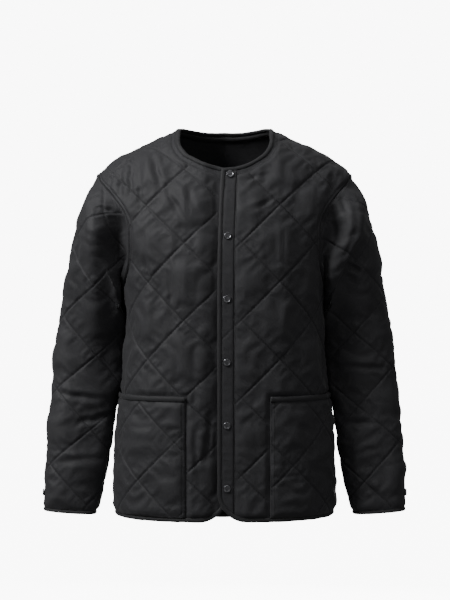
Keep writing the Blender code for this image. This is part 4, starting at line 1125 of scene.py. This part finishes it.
def quilting_stitches(outline, quilt, margin):
    """Places and directions of the stitches along the quilting lines in an outline."""
    origin = np.array(quilt) * MM
    size = np.array([QUILT_WIDTH, QUILT_HEIGHT])
    lattice_box = (np.array([outline.min(0), outline.max(0)]) - origin) / size
    reach = np.abs(lattice_box).sum()
    lines = np.arange(-2 * (reach // 2), reach, 2)
    run = np.arange(-reach, reach, STITCH_PITCH / (LINE_SPACING / 2))
    mids, runs = [], []
    for side in (-1, 1):
        off, r = np.meshgrid(lines, run)
        points = np.stack([off + r, side * (off - r)], 2).reshape(-1, 2) / 2 * size + origin
        way = np.array([1, -side]) * size / np.linalg.norm(size)
        kept = inside(points, outline)
        kept[kept] = edge_distance(points[kept], outline, True) > margin
        mids.append(points[kept])
        runs.append(np.tile(way, (kept.sum(), 1)))
    return np.concatenate(mids), np.concatenate(runs)


def row_stitches(line, offset):
    """Places and directions of a row of stitches, offset to the left of a line."""
    line = spaced(line, STITCH_PITCH)
    line = line + beside(line, -1) * offset
    mids = (line[1:] + line[:-1]) / 2
    runs = line[1:] - line[:-1]
    return mids, runs / np.linalg.norm(runs, axis=1)[:, None]


def gather(pairs):
    """Several places and directions as one."""
    return np.concatenate([p[0] for p in pairs]), np.concatenate([p[1] for p in pairs])


class Patch:
    """Cloth laid on a panel: its outline there, its mesh cell, and its two heights."""

    def __init__(self, name, panel, outline, heights, quilt=(0, 0), cell=None):
        self.name, self.form, self.outline = name, panel.form, outline
        self.heights, self.quilt, self.cell = heights, quilt, cell

    def surface(self, points):
        """Outer face and its outward normals."""
        place, out = self.form(points)
        return place + out * self.heights(points)[1][:, None], out


class Pocket(Patch):
    """A quilted patch pocket on a front, from its side seam to its upright edge."""

    cell = None

    def __init__(self, which, panel):
        self.name, self.form = which + "_pocket", panel.form
        self.quilt, self.seed = QUILTS[self.name], 21 if which == "left" else 24
        edge = abs(POCKETS[which])
        foot, top = HEM + BINDING + SEAM_GAP, POCKET_TOP - POCKET_BINDING
        t = np.linspace(foot, top, 40)
        side = np.stack([side_seam(t, False) - 3 * MM, t], 1)
        corners = np.array([[edge, foot], side[0], side[-1], [edge, top]])
        runs = [corners[:2], side, corners[2:], corners[[3, 0]]]
        if which == "right":
            runs = [mirrored(run) for run in runs]
        self.hem, self.side, self.mouth, self.upright = runs
        self.outline = joined(runs if which == "left" else runs[::-1])
        self.slack = Slack(self)

    def sewn(self, points):
        """Distance from the edges that are sewn to the front."""
        return np.minimum.reduce([edge_distance(points, run)
                                  for run in (self.hem, self.side, self.upright)])

    def free(self, points):
        """How much of its loft the pocket keeps beside its edges."""
        edge = np.minimum(self.sewn(points), edge_distance(points, self.mouth))
        return ease((edge - QUILT_END) / PLAIN_BAND) ** BAND_POWER

    def quilted(self, points):
        """Height of the outer face above the inner one, before it buckles."""
        loft, pucker = quilting(points, self.quilt, self.seed)
        soft = wrinkles(points, "pocket", self.seed)[0]
        return POCKET_CLOTH + self.free(points) * (POCKET_LOFT * loft + soft * loft + pucker)

    def heights(self, points):
        """Heights of the inner and the outer face above the front's form."""
        lifted = ease(self.sewn(points) / POCKET_RISE)
        low = POCKET_SEWN + (POCKET_LIFT - POCKET_SEWN) * lifted
        return low, low + self.quilted(points) + self.slack.at(points)


def make_cloth(cloth, material, lines=()):
    """The wall of a panel, a sleeve or a patch, in place of its node."""
    cells = BACK_CELLS if cloth.name == "back_panel" else CELLS
    if isinstance(cloth, Patch):
        points, faces = lattice(cloth.outline, cloth.quilt, cloth.cell, lines, cells)
        low, high = cloth.heights(points)
    else:
        points, faces = lattice(cloth.outline, cloth.quilt, None, lines, cells)
        low, high = np.zeros(len(points)), cloth.thickness(points)
    place, out = cloth.form(points)
    verts, faces = wall(place + out * low[:, None], place + out * high[:, None], faces)
    return make_piece(cloth.name + "_cloth", verts, outward_faces(verts, faces), material,
                      [cloth.name])


class Raised:
    """A height above a form, where the stitches of a binding lie."""

    def __init__(self, form, height):
        self.form, self.height = form, height

    def surface(self, points):
        """Places at the height, and outward normals."""
        place, out = self.form(points)
        return place + out * self.height, out


def make_binding(name, form, line, path, material, closed=False):
    """A folded tape round a cut edge that runs counter-clockwise."""
    verts, faces = sweep(form, line, 1, folded_tape(path, TAPE_HALF), closed, TAPE_RIPPLE)
    return make_piece(name + "_tape", verts, outward_faces(verts, faces), material,
                      [name])


def make_stitching(name, batches, material):
    """All the stitches of one piece; a batch is its cloth, their places and directions."""
    verts, faces, count = [], [], 0
    for cloth, (mids, runs) in batches:
        points, triangles = stitches(cloth, mids, runs)
        verts.append(points)
        faces.append(triangles + count)
        count += len(points)
    verts, faces = np.concatenate(verts), np.concatenate(faces)
    return make_piece(name + "_stitching", verts, outward_faces(verts, faces), material)


def make_snap(name, place, out, material):
    """A snap cap: a rolled rim round a slightly domed face."""
    profile = np.array(SNAP_PROFILE) * MM
    turn = np.arange(SNAP_SIDES) * 2 * math.pi / SNAP_SIDES
    right = np.cross(out, [0, 0, 1.0])
    right /= np.linalg.norm(right)
    up = np.cross(right, out)
    rings = [place + out * height + radius * (np.cos(turn)[:, None] * right
                                              + np.sin(turn)[:, None] * up)
             for radius, height in profile]
    ends = [place + out * profile[0, 1], place + out * profile[-1, 1]]
    verts = np.concatenate(rings + [ends])
    k = np.arange(SNAP_SIDES)
    n = (k + 1) % SNAP_SIDES
    faces = []
    for i in range(len(profile) - 1):
        a, b = i * SNAP_SIDES, (i + 1) * SNAP_SIDES
        faces += [np.stack([a + k, a + n, b + n], 1), np.stack([a + k, b + n, b + k], 1)]
    top, foot, last = len(verts) - 2, len(verts) - 1, (len(profile) - 1) * SNAP_SIDES
    faces += [np.stack([k * 0 + top, n, k], 1),
              np.stack([k * 0 + foot, last + k, last + n], 1)]
    faces = np.concatenate(faces)
    return make_piece(name + "_cap", verts, outward_faces(verts, faces), material,
                      [name])


# ---------------------------------------------------------------- the pieces
def front_runs(which):
    """Runs of a front's outline, counter-clockwise: hem, side, armhole, shoulder, neck
    and front edge."""
    side, hole, seam = side_and_armhole(False)
    neck, down, corner, hem = front_edge(LAP_EDGE if which == "left" else -UNDER_EDGE)
    end = hem[-1, 0]
    if which == "left":
        lower = between(np.concatenate([corner, hem[1:]]), PLACKET_SEAM, end)
        neck = between(neck, PLACKET_SEAM, neck[0, 0])
        edge = np.stack([neck[-1], lower[0]])
        return [lower, side, hole, seam, neck, edge]
    runs = [hem, side, hole, seam, neck, np.concatenate([down, corner[1:]])]
    return [mirrored(run) for run in runs]


def make_front(which, sleeve, materials):
    """A quilted front with its edge binding and stitching."""
    sign = 1 if which == "left" else -1
    runs = front_runs(which)
    hem, side, hole, seam, neck, edge = runs
    outline = joined(runs if sign > 0 else runs[::-1])
    panel = Panel(which + "_front", outline, False, [side, seam, edge, hem], [hole, neck],
                  [hole], 1 if sign > 0 else 2)
    turns = np.linspace(0.5, 0, Sleeve.SEAM_POINTS)
    shared = sleeve.shared_directions(turns, False)
    rim = armhole(False, turns * 2) * [sign, 1]
    panel.mitres = [(rim, shared)]
    cloth = make_cloth(panel, materials["cloth"],
                       groove_lines([hole, neck], outline))
    cut = front_edge(LAP_EDGE if sign > 0 else -UNDER_EDGE)
    line = np.concatenate([joined(cut[:-1]), spaced(cut[-1], EDGE_PITCH)])
    if sign < 0:
        line = mirrored(line)
    tape = make_binding(panel.name + "_binding", panel.form, line, BINDING_PATH,
                        materials["binding"])
    raised = Raised(panel.form, BINDING_STITCH_HEIGHT)
    batches = [(panel, quilting_stitches(outline, panel.quilt, QUILT_END)),
               (panel, gather([row_stitches(run, offset) for run, offset in (
                   (hole, SEAM_STITCH), (hole, TOPSTITCH), (neck, TOPSTITCH))])),
               (raised, row_stitches(line, BINDING_STITCH))]
    if sign > 0:
        batches.append((panel, row_stitches(edge, SEAM_STITCH)))
    sewn = make_stitching(panel.name, batches, materials["thread"])
    return panel, cloth, [tape, sewn]


def make_placket(panel, materials):
    """The plain snap band between the left front's edge and its stitching line."""
    neck, down, corner, hem = front_edge(LAP_EDGE)
    low, high = LAP_EDGE + SEAM_GAP / 2, PLACKET_SEAM - SEAM_GAP / 2
    foot = between(np.concatenate([corner, hem[1:]]), low, high)
    top = between(neck, low, high)
    outer, inner = np.stack([foot[-1], top[0]]), np.stack([top[-1], foot[0]])
    outline = joined([foot, outer, top, inner])
    snaps = snap_points()

    def heights(points):
        """Heights of the band's inner and outer face above the front's form."""
        s, t = points.T
        edge = edge_distance(points, outline, True)
        rise = PLACKET_EDGE + (PLACKET_THICK - PLACKET_EDGE) * ease(edge / (4 * MM))
        slack = 0.30 * uneven(s / 0.013, t / 0.017, 11) \
            + 0.25 * uneven(s / 0.03, t / 0.006, 12)
        rise += slack * MM * ease(edge / (5 * MM))
        for snap in snaps:
            away = np.linalg.norm(points - snap, axis=1)
            rise -= SNAP_DENT * np.exp(-(away / SNAP_DENT_REACH) ** 2)
        away = t - PLACKET_LINE_UP - (s - PLACKET_LINE_ACROSS)
        rise -= PLACKET_LINE_DEPTH * np.exp(-(away / PLACKET_LINE_WIDTH) ** 2)
        return np.zeros(len(points)), rise
    band = Patch("placket", panel, outline, heights, cell=np.full(2, PLACKET_CELL))
    cloth = make_cloth(band, materials["cloth"])
    rows = gather([row_stitches(run, PLACKET_STITCH) for run in (outer, inner)])
    sewn = make_stitching("placket", [(band, rows)], materials["thread"])
    return band, cloth, sewn


def snap_points():
    """Pattern places of the snaps down the placket."""
    heights = SNAP_TOP - SNAP_SPACING * np.arange(SNAP_COUNT)
    return np.stack([np.full(SNAP_COUNT, SNAP_ACROSS), heights], 1)


def make_snaps(panel, materials):
    """The row of snap caps down the placket."""
    place, out = panel.form(snap_points())
    return [make_snap(f"snap_{n + 1}", place[n] + out[n] * PLACKET_THICK, out[n],
                      materials["metal"]) for n in range(SNAP_COUNT)]


def make_back(sleeves, materials):
    """The back with its hem and neck bindings, its inner tape and its stitching."""
    side, hole, seam = side_and_armhole(True)
    end = side[0, 0]
    across = np.linspace(-end, end, 121)
    hem = np.stack([across, hem_height(across, True)], 1)
    neck = neckline(True, 60)
    half = [side, hole, seam, neck]
    other = [mirrored(run) for run in half[::-1]]
    outline = joined([hem] + half + other)
    plain = [side, seam, mirrored(side), mirrored(seam), hem]
    sewn_rows = [hole, mirrored(hole), neck, mirrored(neck)]
    panel = Panel("back_panel", outline, True, plain, sewn_rows, [hole, mirrored(hole)], 3)
    turns = np.linspace(-0.5, 0, Sleeve.SEAM_POINTS)
    rim = armhole(True, -turns * 2)
    panel.mitres = [(rim * [sleeve.side, 1], sleeve.shared_directions(turns, True))
                    for sleeve in sleeves]
    cloth = make_cloth(panel, materials["cloth"],
                       groove_lines(sewn_rows, outline))
    whole_neck = spaced(np.concatenate([neck, mirrored(neck)[1:]]), EDGE_PITCH)
    hem = spaced(hem, EDGE_PITCH)
    tapes = [make_binding(name, panel.form, line, BINDING_PATH, materials["binding"])
             for name, line in (("back_hem_binding", hem), ("back_neck_binding", whole_neck))]
    verts, faces = sweep(panel.form, whole_neck[1:-1], 1, NECK_TAPE)
    tapes.append(make_piece("back_neck_tape_strip", verts, outward_faces(verts, faces),
                            materials["binding"], ["back_neck_tape"]))
    raised = Raised(panel.form, BINDING_STITCH_HEIGHT)
    rows = [(run, offset) for run in sewn_rows[:2] for offset in (SEAM_STITCH, TOPSTITCH)]
    rows.append((whole_neck, TOPSTITCH))
    batches = [(panel, quilting_stitches(outline, panel.quilt, QUILT_END)),
               (panel, gather([row_stitches(*row) for row in rows])),
               (raised, row_stitches(hem, BINDING_STITCH)),
               (raised, row_stitches(whole_neck, BINDING_STITCH))]
    sewn = make_stitching(panel.name, batches, materials["thread"])
    return panel, cloth, tapes + [sewn]


def make_pocket(which, panel, materials):
    """A quilted patch pocket on a front, with its bound mouth."""
    pocket = Pocket(which, panel)
    cloth = make_cloth(pocket, materials["cloth"])
    tape = make_binding(pocket.name + "_binding", panel.form, spaced(pocket.mouth, EDGE_PITCH),
                        MOUTH_PATH, materials["binding"])
    raised = Raised(panel.form, MOUTH_STITCH_HEIGHT)
    rows = [row_stitches(pocket.upright, offset) for offset in (SEAM_STITCH, POCKET_STITCH)]
    batches = [(pocket, quilting_stitches(pocket.outline, pocket.quilt, QUILT_END)),
               (pocket, gather(rows)), (raised, row_stitches(pocket.mouth, BINDING_STITCH))]
    sewn = make_stitching(pocket.name, batches, materials["thread"])


def make_sleeve(sleeve, materials):
    """A quilted sleeve with its cuff binding, snap and stitching."""
    which = sleeve.name.split("_")[0]
    cloth = make_cloth(sleeve, materials["cloth"])
    ring = spaced(sleeve.cuff, EDGE_PITCH)[:-1]
    tape = make_binding(which + "_cuff_binding", sleeve.form, ring, BINDING_PATH,
                        materials["binding"], closed=True)
    place, out = sleeve.form(sleeve.snap()[None])
    snap = make_snap(which + "_cuff_snap", place[0] + out[0] * (CLOTH + CUFF_SNAP_STAND),
                     out[0], materials["metal"])
    raised = Raised(sleeve.form, BINDING_STITCH_HEIGHT)
    batches = [(sleeve, quilting_stitches(sleeve.outline, sleeve.quilt, QUILT_END)),
               (raised, row_stitches(sleeve.cuff, BINDING_STITCH))]
    sewn = make_stitching(sleeve.name, batches, materials["thread"])


# ---------------------------------------------------------------- materials
MOTTLE = 45 * MM          # patches of slightly lighter and darker dye
GLOSS_SPREAD = 0.06       # roughness varies this much between them
THREAD_RELIEF = 0.12      # threads stand up this share of their width
NYLON_IOR = 1.53


def linear(code, alpha=1.0):
    """An sRGB hex colour as linear red, green, blue and alpha."""
    parts = [int(code[n:n + 2], 16) / 255 for n in (1, 3, 5)]
    return [p / 12.92 if p <= 0.04045 else ((p + 0.055) / 1.055) ** 2.4
            for p in parts] + [alpha]


def add(tree, kind, sockets, **settings):
    """A node with its settings; sockets holds values, or outputs to link to, by name."""
    node = tree.nodes.new(kind)
    for name, value in settings.items():
        setattr(node, name, value)
    for name, value in sockets.items():
        if isinstance(value, bpy.types.NodeSocket):
            tree.links.new(value, node.inputs[name])
        else:
            node.inputs[name].default_value = value
    return node


def new_material(name):
    """An empty material and its node tree."""
    material = bpy.data.materials.new(name)
    material.use_nodes = True
    material.node_tree.nodes.clear()
    return material, material.node_tree


def woven(name, colours, roughness, sheen, thread, crinkle, depth):
    """Woven synthetic cloth: mottled between two colours, with threads and crinkles.

    thread and crinkle are sizes in metres; depth is how far the crinkles stand up."""
    material, tree = new_material(name)
    place = add(tree, "ShaderNodeTexCoord", {}).outputs["Object"]
    mottle = add(tree, "ShaderNodeTexNoise", {"Vector": place, "Scale": 1 / MOTTLE,
                                              "Detail": 3.0})
    tint = add(tree, "ShaderNodeMix", {"Factor": mottle.outputs["Fac"]}, data_type="RGBA")
    tint.inputs["A"].default_value = linear(colours[0])
    tint.inputs["B"].default_value = linear(colours[1])
    weave = add(tree, "ShaderNodeMath", {}, operation="MULTIPLY")
    for n, way in enumerate("XZ"):
        threads = add(tree, "ShaderNodeTexWave", {
            "Vector": place, "Scale": 2 * math.pi / (20 * thread), "Distortion": 1.2,
            "Detail": 1.0}, bands_direction=way)
        tree.links.new(threads.outputs["Fac"], weave.inputs[n])
    wrinkle = add(tree, "ShaderNodeTexNoise", {"Vector": place, "Scale": 1 / crinkle,
                                               "Detail": 3.0, "Distortion": 0.6})
    low = add(tree, "ShaderNodeBump", {"Height": wrinkle.outputs["Fac"], "Distance": depth,
                                       "Strength": 1.0})
    fine = add(tree, "ShaderNodeBump", {
        "Height": weave.outputs["Value"], "Distance": thread * THREAD_RELIEF,
        "Strength": 1.0, "Normal": low.outputs["Normal"]})
    gloss = add(tree, "ShaderNodeMapRange", {
        "Value": mottle.outputs["Fac"], "To Min": roughness - GLOSS_SPREAD,
        "To Max": roughness + GLOSS_SPREAD})
    shader = add(tree, "ShaderNodeBsdfPrincipled", {
        "Base Color": tint.outputs["Result"], "Roughness": gloss.outputs["Result"],
        "IOR": NYLON_IOR, "Specular IOR Level": 0.3, "Sheen Weight": sheen,
        "Sheen Roughness": 0.5, "Normal": fine.outputs["Normal"]})
    add(tree, "ShaderNodeOutputMaterial", {"Surface": shader.outputs["BSDF"]})
    return material


def snap_metal():
    """Dark nickel-plated brass, pressed and polished: tight dark reflections."""
    material, tree = new_material("gunmetal_plated_brass")
    place = add(tree, "ShaderNodeTexCoord", {}).outputs["Object"]
    wear = add(tree, "ShaderNodeTexNoise", {"Vector": place, "Scale": 900.0, "Detail": 4.0})
    gloss = add(tree, "ShaderNodeMapRange", {"Value": wear.outputs["Fac"], "To Min": 0.22,
                                             "To Max": 0.36})
    shader = add(tree, "ShaderNodeBsdfPrincipled", {
        "Base Color": linear("#808084"), "Metallic": 1.0,
        "Roughness": gloss.outputs["Result"]})
    add(tree, "ShaderNodeOutputMaterial", {"Surface": shader.outputs["BSDF"]})
    return material


def make_materials():
    """Every finish of the jacket."""
    return {
        # nylon taffeta, woven: smooth, with a low satin shine that breaks on its crinkles;
        # threads are 0.1 mm, drawn at 0.9 mm to show
        "cloth": woven("black_nylon_taffeta", ("#343437", "#2e2e30"), 0.62, 0.08, 0.9 * MM,
                       7 * MM, 0.35 * MM),
        # polyester binding tape, woven with a fine rib: flatter than the shell
        "binding": woven("black_binding_tape", ("#2f2f31", "#29292b"), 0.66, 0.08, 0.8 * MM,
                         5 * MM, 0.2 * MM),
        # spun polyester thread, black and matt; its near-black colour, far darker than the
        # cloth, is also painted shade of the quilting grooves it lies in
        "thread": woven("black_polyester_thread", ("#0e0e0f", "#0a0a0b"), 0.8, 0.0, 0.4 * MM,
                        2 * MM, 0.05 * MM),
        "metal": snap_metal()}


# ---------------------------------------------------------------- stage
def make_stage():
    """Floor, studio light and camera."""
    material, tree = new_material("pale_floor")
    shader = add(tree, "ShaderNodeBsdfPrincipled", {
        "Base Color": linear("#f4f4f4"), "Roughness": 0.9,
        "Emission Color": (1, 1, 1, 1), "Emission Strength": BACKDROP})
    add(tree, "ShaderNodeOutputMaterial", {"Surface": shader.outputs["BSDF"]})
    mesh = bpy.data.meshes.new("floor")
    corners = [(x * FLOOR_SIZE, y * FLOOR_SIZE, FLOOR_HEIGHT)
               for x, y in ((-1, -1), (1, -1), (1, 1), (-1, 1))]
    mesh.from_pydata(corners, [], [(0, 1, 2, 3)])
    mesh.materials.append(material)
    floor = bpy.data.objects.new("floor", mesh)
    bpy.context.scene.collection.objects.link(floor)
    floor.visible_diffuse = floor.visible_glossy = False

    world = bpy.data.worlds.new("studio")
    world.use_nodes = True
    world.node_tree.nodes.clear()
    tree = world.node_tree
    seen = add(tree, "ShaderNodeLightPath", {}).outputs["Is Camera Ray"]
    strength = add(tree, "ShaderNodeMapRange", {"Value": seen, "To Min": AMBIENT,
                                                "To Max": BACKDROP})
    sky = add(tree, "ShaderNodeBackground", {"Color": (1, 1, 1, 1),
                                             "Strength": strength.outputs["Result"]})
    add(tree, "ShaderNodeOutputWorld", {"Surface": sky.outputs["Background"]})
    bpy.context.scene.world = world

    for name, (place, size, power) in LIGHTS.items():
        light = bpy.data.lights.new(name, "AREA")
        light.size, light.energy = size, power
        lamp = bpy.data.objects.new(name, light)
        lamp.location = place
        aim = Vector(AIM) - Vector(place)
        lamp.rotation_euler = aim.to_track_quat("-Z", "Y").to_euler()
        bpy.context.scene.collection.objects.link(lamp)

    camera = bpy.data.objects.new("camera", bpy.data.cameras.new("camera"))
    camera.data.lens = LENS
    camera.data.sensor_width = SENSOR
    camera.location = EYE
    camera.rotation_euler = (math.pi / 2, 0, 0)
    bpy.context.scene.collection.objects.link(camera)
    bpy.context.scene.camera = camera


def main():
    """Builds every piece of the jacket and its stage."""
    materials = make_materials()
    sleeves = {"left": Sleeve("left_sleeve", 1, 4), "right": Sleeve("right_sleeve", -1, 8)}
    back, back_cloth, back_trim = make_back(list(sleeves.values()), materials)
    fronts, cloths, trims = {}, {}, {}
    for which, sleeve in sleeves.items():
        fronts[which], cloths[which], trims[which] = make_front(which, sleeve, materials)
        make_pocket(which, fronts[which], materials)
        make_sleeve(sleeve, materials)
    band, band_cloth, band_sewn = make_placket(fronts["left"], materials)
    trims["left"] += [band_sewn] + make_snaps(fronts["left"], materials)
    make_stage()


main()
